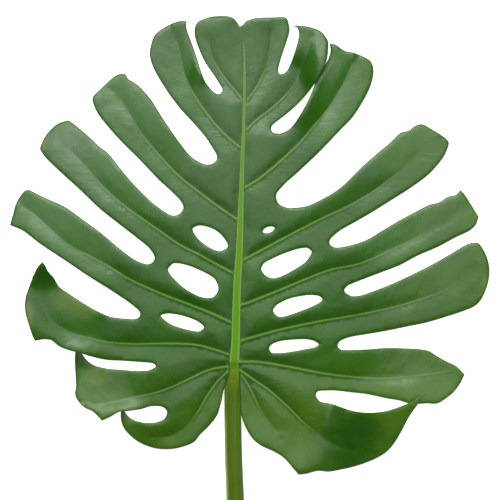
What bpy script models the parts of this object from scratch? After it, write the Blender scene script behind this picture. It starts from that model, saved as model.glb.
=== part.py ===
"""Monstera leaf, cut and laid face up on a flat surface.

Two bodies: the blade, one thin waved sheet with deep slits, holes and side ribs, and the stalk, whose
swollen knee runs on through the blade as the midrib.

Names that end in PX hold places chosen by eye on a straight-down view, 500 px square with y down. They
become millimetres in the leaf's own frame by PX_TO_MM: the origin is under the place where the stalk
meets the blade, +Y runs to the leaf's tip and +Z is up. The meshes are in metres.
"""

import math

import bmesh
import bpy
import numpy as np
from mathutils import Vector
from mathutils.geometry import delaunay_2d_cdt

# Driving sizes, in millimetres
PX_TO_MM = 0.8
ORIGIN_PX = (232.5, 372.0)
BLADE_THICKNESS = 0.95
RIB_THICKNESS = 2.6
CELL = 7.4
EDGE_STEP = 6.6
STALK_LENGTH = 260.0
STALK_TOP_WIDTH = 13.2
STALK_CUT_WIDTH = 16.0
KNEE_WIDTH = 14.0
NODE_GAP = 0.35
FLAT_SPOT_WIDTH = 3.2
CREST_HEIGHT = 3.0
CREST_REACH = 8.5
MARGIN_REACH = 1.6
MARGIN_ROLL = 0.2
SIDE_DROOP = 14.5
SIDE_REACH = 190.0
LOWEST_TOP = 1.25
TALLEST_TOP = 31.4

# Height of the blade's upper face along the midrib, as (y, z) in millimetres
MIDRIB_HEIGHT = [(-110, 4.0), (-85, 6.2), (-50, 10.2), (-20, 13.0), (0, 14.0), (40, 17.2), (90, 20.0),
                 (140, 20.6), (190, 18.6), (220, 16.1), (250, 13.7), (275, 12.3), (300, 11.5)]

# Midrib: centre line, and width on the upper face as (y px, width px)
MIDRIB_PX = [(234, 366), (235.5, 345), (236.5, 305), (237.5, 280), (239.5, 250), (240.5, 220),
             (242.5, 160), (244, 115), (244.5, 72)]
MIDRIB_WIDTH_PX = [(372, 10.5), (350, 9.0), (300, 8.0), (250, 7.0), (220, 6.0), (190, 4.6), (150, 3.6),
                   (110, 2.8), (72, 2.2)]

# Stalk: centre line below the blade, as (x px, y px)
STALK_PX = [(234, 366), (233.2, 380), (232.8, 400), (233.0, 435), (233.6, 460), (234.8, 490),
            (237.4, 560), (240.6, 630), (244.0, 697)]

# Corners of the outline that stay sharp
SHARP_PX = {(188.5, 21.3), (8.8, 225), (45, 261.5), (36, 340.5), (75.5, 346), (102, 420.8), (122, 406.5),
            (298.5, 474.7), (426, 393.5), (466.5, 375.5), (480.3, 216.5), (462, 189.3), (329.5, 43),
            (293, 27), (240, 26.5)}

# Outline, counter-clockwise from the notch at the leaf's tip: lobes L1 to L8, then R8 back to R1.
# A list named after two lobes is the round inner end of the slit between them.
OUTLINE_PX = {
    "notch": [(240, 26.5)],
    "L1": [(238, 23.5), (234, 18.5), (228, 16.2), (212, 16.3), (204, 18.7), (198, 21.3), (194.6, 28),
           (195, 37), (199, 49), (205, 62), (215, 77), (221.5, 87.5)],
    "L1L2": [(222.7, 91), (220, 94.5), (216.5, 94.3)],
    "L2": [(213, 91.7), (205.6, 82.6), (201.4, 72.6), (194.2, 50), (187, 30), (186.3, 22.5), (188.5, 21.3),
           (180, 20.8), (170, 24), (160, 30), (155, 34.5), (152, 41), (149.8, 55), (154, 69),
           (166, 89.5), (180, 108.5), (195, 125), (206, 138), (214, 150.5)],
    "L2L3": [(217, 156), (217, 160), (214, 163.5), (209, 165), (204, 164.5)],
    "L3": [(192, 157.5), (180, 143), (165, 121.5), (151, 99.5), (141, 88), (135, 83), (128.5, 79),
           (125.5, 74.3), (118, 74.3), (110, 80), (100, 89.5), (93.5, 96), (92.6, 101), (97, 112),
           (105, 123), (120, 140), (140, 160), (160, 181), (170, 190), (180, 200)],
    "L3L4": [(183, 204.5), (183.8, 208.5), (181, 213), (176, 215.7), (170, 214.8)],
    "L4": [(155, 204.5), (140, 190.5), (128, 177.5), (117, 164), (108, 153), (100, 147), (85, 133),
           (70, 121), (67, 119.5), (56, 123.5), (46, 134), (41, 144), (39.8, 149), (45, 157),
           (60, 171.5), (80, 189.5), (100, 208.5), (120, 224.5), (140, 240), (150, 248.5)],
    "L4L5": [(154, 254.5), (155.2, 258), (153.5, 261.5), (150, 263.8), (146, 264)],
    "L5": [(135, 259.5), (120, 248.5), (100, 232), (82, 219), (64, 206.5), (43, 197), (30, 190.5),
           (26, 189.3), (22, 191.5), (15.5, 201), (11.5, 214.5), (8.8, 225), (22, 230.5), (40, 244),
           (62, 258.5), (86, 274.5), (110, 289.5), (128, 301.5), (137, 308.5)],
    "L5L6": [(139.5, 311), (140.5, 314.5), (138.5, 317.8), (134, 319)],
    "L6": [(120, 318), (110, 316.5), (95, 309.5), (80, 300.5), (68, 292.5), (60, 286.5), (55, 277.5),
           (50, 271), (48, 266), (45, 261.5), (39, 268), (34.5, 276.5), (30, 287), (26.5, 298),
           (26.5, 311), (30, 324), (34, 336.5), (36, 340.5), (45, 339), (52, 339.8), (60, 346),
           (70, 350), (80, 352.5), (92, 356.5), (107, 360), (125, 361), (140, 362)],
    "L6L7": [(152, 363), (155, 364.5), (156, 366.5), (153, 368.5), (149, 370.3)],
    "L7": [(137, 371), (120, 370), (106, 369), (94, 366.3), (86, 361), (80.5, 353.8), (75.5, 346),
           (74, 353), (73.5, 361), (73.7, 370), (74.8, 388), (73.9, 394), (76, 400), (84, 408),
           (92, 411.5), (98, 416.5), (102, 420.8), (111, 416.5), (119, 411.8), (130, 410.7),
           (142, 409), (151, 406.5), (160, 406.5)],
    "L7L8": [(163, 407.5), (166, 410), (167, 413), (165.5, 417), (163, 420)],
    "L8": [(155, 422.8), (143, 423), (132, 420.3), (125.5, 415), (122, 406.5), (120, 413), (120, 420),
           (121, 425), (124, 431), (133, 440), (144, 446.5), (157, 450), (172, 450), (184, 447),
           (194, 442.5), (200, 435), (209, 426), (217, 415.5), (221, 403), (223.5, 391), (226, 383),
           (228.6, 376)],
    "R8": [(239.3, 376), (239.7, 386), (240.4, 400), (241, 414), (246, 428), (253, 439), (262, 446),
           (274, 451.5), (284, 458), (292, 467), (298.5, 474.7), (306, 474), (318, 471.5),
           (329, 472.8), (340, 471.3), (352, 469), (371, 462.6), (386, 454.5), (394.4, 445.4),
           (402, 432), (409, 417), (417, 404.5), (422.5, 396), (426, 393.5), (417, 397),
           (407, 403.5), (396, 408), (384, 411.3), (370, 412.2), (356, 410.7), (344, 407.5),
           (332, 404), (321, 402)],
    "R7R8": [(318, 399.5), (316, 396), (317, 392), (320, 391)],
    "R7": [(334, 390.7), (350, 392.5), (367, 394.5), (387, 398.8), (400, 401), (407, 403.3),
           (417, 404.5), (428, 404), (438, 404.3), (447, 399.5), (456, 392.3), (462, 384.4),
           (466.5, 375.5), (458, 367), (448, 362), (438, 356.5), (430, 351.5), (418, 349.5),
           (403, 348.7), (386, 348.3), (370, 349.3), (355, 349.8), (347, 350)],
    "R6R7": [(340, 349.3), (337.5, 345.5), (340, 341)],
    "R6": [(350, 337), (365, 334.5), (386, 331), (408, 326.5), (428, 322.5), (447, 317), (464, 311.5),
           (476, 306.5), (482.5, 300), (487.5, 290), (490.8, 278), (491, 266), (487.5, 254),
           (482, 244.5), (479, 242.5), (470, 243.5), (460, 249), (442, 259.5), (424, 269),
           (406, 277.5), (388, 285.5), (372, 291.5), (361, 295.2), (352, 296)],
    "R5R6": [(345.7, 293), (344, 290), (347, 286), (352, 283.5)],
    "R5": [(365, 278.5), (382, 272), (400, 265), (418, 255.5), (438, 247), (457, 237), (470, 231),
           (477, 225), (480.3, 216.5), (475, 208), (467, 195), (462, 189.3), (457, 194.5),
           (449, 196.3), (440, 202), (430, 204.5), (415, 212), (400, 220), (382, 230.5),
           (367, 239.5), (352, 244.7), (340, 247.3), (334, 247.3)],
    "R4R5": [(330, 245), (329, 242), (331, 238)],
    "R4": [(340, 230.5), (355, 222), (370, 213.3), (393, 199), (411, 187.5), (429, 174), (443, 158),
           (448.5, 147), (449.2, 142), (445, 137), (434, 130), (425, 124.8), (421, 123.8),
           (414.5, 126), (409, 130.3), (400, 133), (390, 142.5), (375, 155), (360, 168.5),
           (345, 183.5), (335, 191.5), (320, 200.2), (306, 206.3), (294, 208)],
    "R3R4": [(288, 208.2), (279, 204.5), (276, 198), (277, 193)],
    "R3": [(285, 184), (300, 170.5), (320, 151.5), (341, 129.5), (352, 118), (361.6, 103.7),
           (369.5, 89), (373.5, 76), (373.7, 67), (371, 60.5), (365, 56.5), (355, 52.5), (345, 50.5),
           (336, 44.5), (329.5, 43), (330.5, 50), (328.5, 58.5), (321.5, 70), (316, 79),
           (313.5, 88), (308, 101), (300, 115.5), (290, 129), (281, 133.8)],
    "R2R3": [(276, 134), (272.5, 133), (271, 130), (272, 126)],
    "R2": [(280, 119.5), (290, 111.5), (300, 102), (310, 90.5), (318.5, 78), (326, 62), (328, 48),
           (327.5, 41.5), (320, 32), (309, 27.8), (298, 26.2), (293, 27), (297.5, 29.5), (298.8, 35),
           (297.5, 43), (293, 57.5), (287, 71)],
    "R1R2": [(283, 74.3), (280, 74.5), (278.3, 72.5), (278, 70)],
    "R1": [(281.5, 57), (286.5, 42), (289.7, 30), (287.5, 19), (285, 16.8), (270, 17.3), (255, 18.2),
           (246, 21), (243, 24.5)],
}

# Holes, each a smooth closed curve
HOLES_PX = {
    "upper_left": [(193, 229), (200, 225.7), (212, 228.5), (221, 234.5), (227.5, 243.5),
                   (227.5, 247.5), (220, 251.2), (209, 247), (198, 238.5)],
    "middle_left": [(168.5, 269.5), (174, 263.3), (187, 265), (203, 271.5), (215, 279), (218.5, 289),
                    (213, 297), (201, 296.5), (185, 288), (172, 276)],
    "lower_left": [(161, 315.5), (168, 313.3), (182, 315.3), (197, 320.7), (204.3, 327), (199, 331.2),
                   (184, 328.5), (170, 323.5)],
    "small_right": [(262.4, 231.9), (265.6, 228), (271.4, 226.6), (274.6, 228.1), (271.4, 232),
                    (265.6, 233.4)],
    "upper_right": [(261.2, 269), (264, 263.2), (270, 259.7), (280, 255), (290, 251.2), (300, 248.4),
                    (307.5, 248.2), (311.4, 252), (306, 261), (294.6, 269), (280, 276.5), (272, 278),
                    (265, 275)],
    "middle_right": [(273.1, 309.5), (277, 304.5), (288, 298.9), (300, 296), (311, 294.8), (319, 296),
                     (322.2, 299.4), (317.5, 303.6), (300, 310.9), (287, 315.4), (279.5, 316.6),
                     (274.7, 313.8)],
    "lower_right": [(269.1, 347.8), (272.3, 343.8), (280.3, 340.9), (292, 339.5), (305.8, 339.1),
                    (313.8, 340.8), (318.7, 344.3), (315, 347.2), (304.2, 349.2), (291.5, 351.5),
                    (280.3, 352.8), (271.5, 352.4)],
}

# Side veins, from the midrib to the tip of each lobe
VEINS_PX = {
    "L1": [(241, 98), (236, 92), (226, 80), (218, 68), (212, 55), (209, 40)],
    "L2": [(240, 148), (226, 136), (214, 123), (200, 104), (190, 87), (183, 68), (180, 52), (176, 38)],
    "L3": [(237.5, 220), (220, 208), (200, 193), (180, 177), (160, 156), (143, 135), (130, 113),
           (119, 97), (110, 88)],
    "L4": [(235.5, 274.5), (218, 265), (200, 255), (180, 245), (160, 231), (140, 217), (120, 202),
           (100, 183), (85, 165), (70, 149), (58, 137)],
    "L5": [(232, 322.5), (210, 312.5), (190, 304.5), (160, 293), (130, 279.5), (110, 267), (90, 256),
           (70, 246), (50, 228), (33, 213), (22, 206)],
    "L6": [(231, 355), (215, 349.5), (195, 344.5), (165, 343.5), (135, 344), (110, 342.5), (90, 338),
           (70, 332), (52, 320), (42, 303), (38, 288)],
    "L7": [(230, 366), (210, 369.5), (190, 378.5), (172, 387), (155, 393), (130, 398), (105, 403),
           (92, 404)],
    "L8": [(229, 370), (217, 382), (207, 396), (197, 413), (185, 427), (168, 437), (150, 438)],
    "R8b": [(239.5, 373), (245, 380), (250, 388), (262, 412), (276, 430)],
    "R8": [(239, 369), (250, 377), (270, 391), (290, 409), (306, 425), (330, 442), (352, 450),
           (378, 440)],
    "R7": [(238, 361.5), (260, 362), (290, 367), (320, 373), (350, 377), (380, 379), (410, 377),
           (440, 374), (456, 372)],
    "R6": [(240, 341), (250, 337.7), (282, 329), (317, 321.7), (345.7, 317), (380, 310.5), (410, 303),
           (440, 293), (462, 281), (478, 270)],
    "R5": [(240, 305), (250, 301.8), (282, 289), (302.6, 280.3), (330, 270), (360, 263.5), (390, 250.5),
           (420, 236), (450, 219), (468, 208)],
    "R4": [(241, 261), (262, 250), (290, 235), (320, 219.5), (350, 205), (375, 190), (400, 171),
           (420, 153), (434, 141)],
    "R3": [(242.5, 189.5), (260, 178.5), (280, 162), (300, 142.5), (312, 128), (328, 108), (345, 80),
           (352, 64)],
    "R2": [(245, 132), (257, 120), (270, 110), (281, 100), (290, 90), (300, 72), (308, 52), (311, 38)],
    "R1": [(246, 102), (258, 85), (266, 66), (270, 46), (271, 32)],
    "top": [(244.5, 82), (244.4, 60), (243.5, 42), (241.8, 29)],
}

# How far each lobe's tip is raised or let down past the droop of the whole leaf, and how far its
# leading edge (counter-clockwise side) is raised against its other edge, in millimetres
LOBE_POSE = {
    "L1": (0.0, 0.0), "L2": (1.0, 2.0), "L3": (4.0, 1.5), "L4": (1.0, 2.5), "L5": (-3.5, 2.0),
    "L6": (9.0, 4.0), "L7": (2.0, 5.0), "L8": (-4.0, 1.0),
    "R1": (0.0, 0.0), "R2": (6.0, -1.0), "R3": (0.0, 0.0), "R4": (3.0, -1.5), "R5": (-3.5, -2.5),
    "R6": (-1.5, -2.5), "R7": (-1.0, -4.5), "R8": (3.0, 0.0),
}

# How deep the valley at a vein is near the midrib, on its upper side (towards the leaf's tip) and on
# its lower side, and half way between two veins
VALLEY_BASE = (1.0, 0.4, 0.75)

# The same further out: for each lobe its upper side half way out and at the tip, then its lower side
VALLEY = {
    "L1": ((0.9, 0.2), (0.8, 0.2)), "L2": ((1.4, 0.9), (1.4, 0.4)), "L3": ((1.5, 0.4), (1.8, 0.2)),
    "L4": ((0.7, 0.1), (2.5, 0.5)), "L5": ((0.8, 0.3), (1.8, 0.9)), "L6": ((0.4, 0.1), (1.6, 1.0)),
    "L7": ((0.3, 0.3), (1.6, 0.9)), "L8": ((1.0, 1.0), (1.0, 1.0)),
    "R1": ((0.9, 0.2), (0.7, 0.2)), "R2": ((1.6, 0.8), (0.8, 0.2)), "R3": ((2.2, 0.9), (1.3, 0.1)),
    "R4": ((1.3, 0.3), (1.1, 0.0)), "R5": ((0.1, 0.1), (1.3, 0.2)), "R6": ((0.3, 0.1), (0.8, 0.1)),
    "R7": ((0.1, 0.1), (1.2, 0.3)), "R8": ((0.4, 0.0), (0.9, 0.0)),
}

# Local swells of the sheet: lobe, place, radii along x and y in px, and height in millimetres
SWELLS_PX = {
    "L6_lower_edge_up": ("L6", 85, 357, 36, 14, 4.5),
    "L6_upper_edge_up": ("L6", 124, 309, 22, 22, 6.5),
    "L7_lower_edge_up": ("L7", 124, 413, 30, 10, 2.5),
    "R8_lower_edge_up": ("", 302, 476, 25, 24, 5.5),
    "R8_upper_edge_up": ("R8", 352, 400, 32, 38, 11.0),
    "R8_left_edge_up": ("", 264, 464, 34, 40, 5.0),
    "L4_tip_dips": ("L4", 62, 118, 24, 16, -1.5),
    "under_middle_left_hole": ("", 196, 290, 24, 11, 1.0),
    "under_upper_left_hole": ("", 211, 252, 14, 9, 0.7),
    "R3_inner_edge_up": ("R3", 303, 101, 16, 34, 5.5),
    "L2_inner_edge_up": ("L2", 208, 76, 14, 34, 4.5),
    "R2_inner_edge_up": ("R2", 286, 66, 14, 34, 2.5),
    "L6_tip_curls_up": ("L6", 45, 259, 30, 19, 15.0),
    "R8_tip_lifts_over_R7": ("R8", 424, 396, 30, 48, 11.0),
    "R2_edge_over_R3": ("R2", 322, 72, 16, 36, 8.0),
    "R8_fold": ("R8", 360, 478, 34, 30, -2.0),
}

# Lobes that pass over or under a neighbour are meshed on their own, from a seam across their base
SEAM_LOBES = {
    "L7": ((149, 370.3), (160, 406.5)),
    "R3": ((285, 184), (281, 133.8)),
    "R8": ((284, 458), (321, 402)),
}

COLLECTION = "monstera_leaf"


def to_mm(point):
    """Turn a place on the view into millimetres in the leaf's frame."""
    return ((point[0] - ORIGIN_PX[0]) * PX_TO_MM, (ORIGIN_PX[1] - point[1]) * PX_TO_MM)


def catmull_rom(p0, p1, p2, p3, t):
    """Point at t on the smooth curve from p1 to p2."""
    return 0.5 * (2 * p1 + (p2 - p0) * t + (2 * p0 - 5 * p1 + 4 * p2 - p3) * t * t
                  + (3 * p1 - p0 - 3 * p2 + p3) * t ** 3)


def smooth_curve(points, step, closed=False, sharp=()):
    """Points no more than step apart on a smooth curve through the given points.

    The curve turns sharply only at the points in sharp. A closed curve doesn't repeat its first point.
    """
    knots = [np.array(to_mm(p)) for p in points]
    count = len(knots)
    out = []
    for i in range(count if closed else count - 1):
        p1 = knots[i]
        p2 = knots[(i + 1) % count]
        p0 = knots[(i - 1) % count]
        p3 = knots[(i + 2) % count]
        span = np.linalg.norm(p2 - p1)
        # Neighbours are drawn in to this span's length, which keeps short turns beside long runs round
        p0 = p1 + (p0 - p1) * min(1.0, span / max(1e-6, np.linalg.norm(p0 - p1)))
        p3 = p2 + (p3 - p2) * min(1.0, span / max(1e-6, np.linalg.norm(p3 - p2)))
        if tuple(points[i]) in sharp or (not closed and i == 0):
            p0 = 2 * p1 - p2
        if tuple(points[(i + 1) % count]) in sharp or (not closed and i == count - 2):
            p3 = 2 * p2 - p1
        pieces = max(1, math.ceil(span / step))
        for k in range(pieces):
            out.append(catmull_rom(p0, p1, p2, p3, k / pieces))
    if not closed:
        out.append(knots[-1])
    return np.array(out)


def value_on_curve(table, x):
    """Smooth value at x through the (x, value) pairs of a table."""
    xs = np.array([row[0] for row in table], float)
    ys = np.array([row[1] for row in table], float)
    if xs[0] > xs[-1]:
        xs, ys = xs[::-1], ys[::-1]
    slopes = np.gradient(ys, xs)
    x = np.clip(x, xs[0], xs[-1])
    i = np.clip(np.searchsorted(xs, x) - 1, 0, len(xs) - 2)
    width = xs[i + 1] - xs[i]
    t = (x - xs[i]) / width
    return ((2 * t ** 3 - 3 * t ** 2 + 1) * ys[i] + (t ** 3 - 2 * t ** 2 + t) * width * slopes[i]
            + (3 * t ** 2 - 2 * t ** 3) * ys[i + 1] + (t ** 3 - t ** 2) * width * slopes[i + 1])


def midrib_x(y):
    """Centre of the midrib at a height y in millimetres."""
    table = [(to_mm(p)[1], to_mm(p)[0]) for p in MIDRIB_PX]
    return value_on_curve(table, y)


def midrib_half_width(y):
    """Half the midrib's width on the upper face at y."""
    table = [((ORIGIN_PX[1] - y_px) * PX_TO_MM, width * PX_TO_MM / 2) for y_px, width in MIDRIB_WIDTH_PX]
    return value_on_curve(table, y)


def distance_to_lines(points, starts, ends):
    """Distance of each point to the nearest of the segments from starts to ends."""
    best = np.full(len(points), 1e9)
    along = ends - starts
    length2 = np.maximum((along ** 2).sum(axis=1), 1e-12)
    for a, d, l2 in zip(starts, along, length2):
        t = np.clip(((points - a) @ d) / l2, 0.0, 1.0)
        gap = points - a - t[:, None] * d
        best = np.minimum(best, np.hypot(gap[:, 0], gap[:, 1]))
    return best


def inside(points, loop):
    """Whether each point lies inside a closed loop."""
    result = np.zeros(len(points), bool)
    x, y = points[:, 0], points[:, 1]
    for (x1, y1), (x2, y2) in zip(loop, np.roll(loop, -1, axis=0)):
        crosses = (y1 > y) != (y2 > y)
        if y1 != y2:
            result ^= crosses & (x < (x2 - x1) * (y - y1) / (y2 - y1) + x1)
    return result


def slot_edges():
    """Edges of the slot that the midrib lies in, up the left side and down the right, in millimetres."""
    foot = 2.0
    head = to_mm(MIDRIB_PX[-1])[1] + 0.7
    heights = np.linspace(foot, head, 34)
    # The slot flares at its foot, where the round knee becomes the midrib
    half = midrib_half_width(heights) + NODE_GAP + 0.6 * np.exp(-(heights - foot) / 6.0)
    left = np.column_stack([midrib_x(heights) - half, heights])
    right = np.column_stack([midrib_x(heights) + half, heights])
    return list(left), list(right[::-1])


def outline_points():
    """The whole outline, counter-clockwise, with the slot of the midrib in it.

    Each entry is a point in millimetres and its kind, "margin" or "slot".
    """
    names = list(OUTLINE_PX)
    middle = names.index("R8")
    left_side = [p for name in names[:middle] for p in OUTLINE_PX[name]]
    right_side = [p for name in names[middle:] for p in OUTLINE_PX[name]] + OUTLINE_PX["notch"]
    left_slot, right_slot = slot_edges()
    left_margin = [(p, "margin") for p in smooth_curve(left_side, EDGE_STEP, sharp=SHARP_PX)]
    right_margin = [(p, "margin") for p in smooth_curve(right_side, EDGE_STEP, sharp=SHARP_PX)]
    return left_margin + [(p, "slot") for p in left_slot + right_slot] + right_margin[:-1]


def seam(ends):
    """Points across a lobe's base, both ends left out."""
    a = np.array(to_mm(ends[0]))
    b = np.array(to_mm(ends[1]))
    pieces = max(2, round(np.linalg.norm(b - a) / CELL))
    return [a + (b - a) * k / pieces for k in range(1, pieces)]


def split_regions(outline):
    """Loops of the main sheet and of each lobe that is meshed on its own.

    Each loop is a list of (point, kind), where kind is "margin", "slot" or "seam".
    """
    regions = {}
    spans = {}
    for lobe, ends in SEAM_LOBES.items():
        first, last = (int(np.argmin([np.hypot(*(p - to_mm(end))) for p, _ in outline])) for end in ends)
        regions[lobe] = outline[first:last + 1] + [(p, "seam") for p in reversed(seam(ends))]
        spans[first] = (lobe, last)
    main = []
    i = 0
    while i < len(outline):
        main.append(outline[i])
        if i in spans:
            lobe, last = spans[i]
            main += [(p, "seam") for p in seam(SEAM_LOBES[lobe])]
            i = last
        else:
            i += 1
    regions["main"] = main
    return regions


def fill_region(loop, holes, guide_points):
    """Triangulate a flat region: its outline, its holes and an even field of points between them."""
    outer = np.array([point for point, _ in loop])
    rims = [outer] + holes
    starts = np.vstack(rims)
    ends = np.vstack([np.roll(rim, -1, axis=0) for rim in rims])
    low = outer.min(axis=0)
    high = outer.max(axis=0)
    rows = int((high[1] - low[1]) / (CELL * 0.866)) + 1
    columns = int((high[0] - low[0]) / CELL) + 2
    field = np.array([(low[0] + (c + 0.5 * (r % 2)) * CELL, low[1] + r * CELL * 0.866)
                      for r in range(rows) for c in range(columns)])
    guides = guide_points[inside(guide_points, outer)]
    for hole in holes:
        guides = guides[~inside(guides, hole)]
    guides = guides[distance_to_lines(guides, starts, ends) > CELL * 0.4]
    field = field[inside(field, outer)]
    for hole in holes:
        field = field[~inside(field, hole)]
    field = field[distance_to_lines(field, starts, ends) > CELL * 0.55]
    if len(guides):
        field = field[distance_to_lines(field, guides, guides) > CELL * 0.62]
    everything = np.vstack(rims + [guides, field])
    edges = []
    base = 0
    for rim in rims:
        edges += [(base + i, base + (i + 1) % len(rim)) for i in range(len(rim))]
        base += len(rim)
    result = delaunay_2d_cdt([Vector(p) for p in everything], edges, [], 0, 1e-6)
    flat = np.array([tuple(v) for v in result[0]])
    faces = np.array(result[2])
    centres = flat[faces].mean(axis=1)
    keep = inside(centres, outer)
    for hole in holes:
        keep &= ~inside(centres, hole)
    # A straight seam can give a triangle with no area
    first, second = flat[faces[:, 1]] - flat[faces[:, 0]], flat[faces[:, 2]] - flat[faces[:, 0]]
    keep &= np.abs(first[:, 0] * second[:, 1] - first[:, 1] * second[:, 0]) > 1e-3
    return flat, faces[keep]


def lobe_weights(points, lobe, lobe_ids):
    """How far out along a lobe each of its points is, 0 at its base and 1 at its tip, and its side."""
    edge = np.array([to_mm(p) for p in OUTLINE_PX[lobe]])
    vein = np.array([to_mm(p) for p in VEINS_PX[lobe]])
    ends = SEAM_LOBES.get(lobe, (OUTLINE_PX[lobe][0], OUTLINE_PX[lobe][-1]))
    start, end = (np.array([to_mm(p)]) for p in ends)
    base = (start[0] + end[0]) / 2
    axis = vein[-1] - base
    axis = axis / np.linalg.norm(axis)
    part = np.clip((points - base) @ axis / ((edge - base) @ axis).max(), 0.0, 1.0)
    from_base = np.clip(distance_to_lines(points, start, end) / 22.0, 0.0, 1.0)
    part = part * from_base * from_base * (3 - 2 * from_base)
    side = (points - base) @ np.array([-axis[1], axis[0]])
    mine = lobe_ids == lobe
    return np.where(mine, part, 0.0), np.where(mine, side, 0.0)


def lobe_of(points, region):
    """Name of the lobe that each point lies in, or an empty name on the body of the leaf."""
    if region != "main":
        return np.full(len(points), region, dtype="<U4")
    names = np.full(len(points), "", dtype="<U4")
    for lobe in LOBE_POSE:
        if lobe in SEAM_LOBES:
            continue
        loop = smooth_curve(OUTLINE_PX[lobe], EDGE_STEP, sharp=SHARP_PX)
        on_margin = distance_to_lines(points, loop[:-1], loop[1:]) < 0.5
        names[inside(points, loop) | on_margin] = lobe
    return names


def vein_fields(points):
    """How far each point is from every side vein, and whether it lies on the vein's upper side.

    Both are arrays with a row for each vein; the second is over 0 on the side of the leaf's tip.
    """
    gaps = []
    sides = []
    for px_points in VEINS_PX.values():
        line = smooth_curve(px_points, CELL * 0.5)
        best = np.full(len(points), 1e9)
        side = np.zeros(len(points))
        for a, b in zip(line[:-1], line[1:]):
            d = b - a
            away = points - a
            t = np.clip((away @ d) / (d @ d), 0.0, 1.0)
            gap = away - t[:, None] * d
            distance = np.hypot(gap[:, 0], gap[:, 1])
            closer = distance < best
            best[closer] = distance[closer]
            side[closer] = np.sign(d[0] * away[closer, 1] - d[1] * away[closer, 0])
        gaps.append(best)
        sides.append(side * (-1.0 if line[-1][0] < line[0][0] else 1.0))
    return np.array(gaps), np.array(sides)


def valley_depth(points, lobes, gaps, sides):
    """Depth of the valley at each point, as a share of CREST_HEIGHT."""
    near = np.argsort(gaps, axis=0)[:2]
    first, second = np.take_along_axis(gaps, near, axis=0)
    above = np.take_along_axis(sides, near, axis=0)[0] * first
    between = np.clip(2 * first / (first + second + 1e-6), 0, 1)
    between = between * between * (3 - 2 * between)
    upper, lower, middle = VALLEY_BASE
    own = lower + (upper - lower) * np.clip(above / 3 + 0.5, 0, 1)
    base = own + (middle - own) * between
    depth = base.copy()
    for i, lobe in enumerate(VEINS_PX):
        mine = lobes == lobe
        if lobe in VALLEY and mine.any():
            out, _ = lobe_weights(points[mine], lobe, lobes[mine])
            above = sides[i][mine] * gaps[i][mine]
            near_base = np.clip(1 - 3.3 * out, 0, 1)
            upper, lower = (np.interp(out, (0.35, 0.85), pair) for pair in VALLEY[lobe])
            further = lower + (upper - lower) * np.clip(above / 3 + 0.5, 0, 1)
            depth[mine] = further + (base[mine] - further) * near_base
    return depth


def sheet_height(points, region, gaps, sides, rib_gap, margin_gap):
    """Height of the blade's upper face over each flat point, in millimetres."""
    x, y = points[:, 0], points[:, 1]
    off_axis = np.abs(x - midrib_x(y))
    height = value_on_curve(MIDRIB_HEIGHT, y)
    height = height - SIDE_DROOP * (off_axis / SIDE_REACH) ** 1.5
    lobes = lobe_of(points, region)
    depth = valley_depth(points, lobes, gaps, sides)
    vein_gap = np.minimum(gaps.min(axis=0), rib_gap)
    crest = 1 - np.exp(-vein_gap / (CREST_REACH * np.maximum(depth, 1.0)))
    crest = crest * (1 - 0.15 * np.exp(-margin_gap / MARGIN_REACH))
    height = height + CREST_HEIGHT * crest * depth
    swell = np.sin(x / 15 + 1.7 * np.sin(y / 29)) * np.cos(y / 17 + 1.3 * np.sin(x / 23 + 0.6))
    height = height + 0.6 * swell * np.clip(vein_gap / 8, 0.15, 1)
    height = height - MARGIN_ROLL * np.exp(-(margin_gap / MARGIN_REACH) ** 2) * np.clip(off_axis / 12, 0, 1)
    for lobe, (lift, twist) in LOBE_POSE.items():
        part, side = lobe_weights(points, lobe, lobes)
        ease = part * part * (3 - 2 * part)
        height = height + lift * ease + twist * ease * np.clip(side / 20.0, -1.4, 1.4)
    for lobe, px, py, rx, ry, rise in SWELLS_PX.values():
        cx, cy = to_mm((px, py))
        within = np.clip(lobe_weights(points, lobe, lobes)[0] * 2.5, 0, 1) if lobe else 1.0
        far = ((x - cx) / (rx * PX_TO_MM)) ** 2 + ((y - cy) / (ry * PX_TO_MM)) ** 2
        height = height + rise * np.exp(-far) * within * within * (3 - 2 * within)
    # A part that would dip below the surface it lies on flattens on it instead
    spare = height - LOWEST_TOP
    height = LOWEST_TOP + 0.5 * (spare + np.sqrt(spare ** 2 + 1.2))
    spare = TALLEST_TOP - height
    return TALLEST_TOP - 0.5 * (spare + np.sqrt(spare ** 2 + 0.8))


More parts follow.
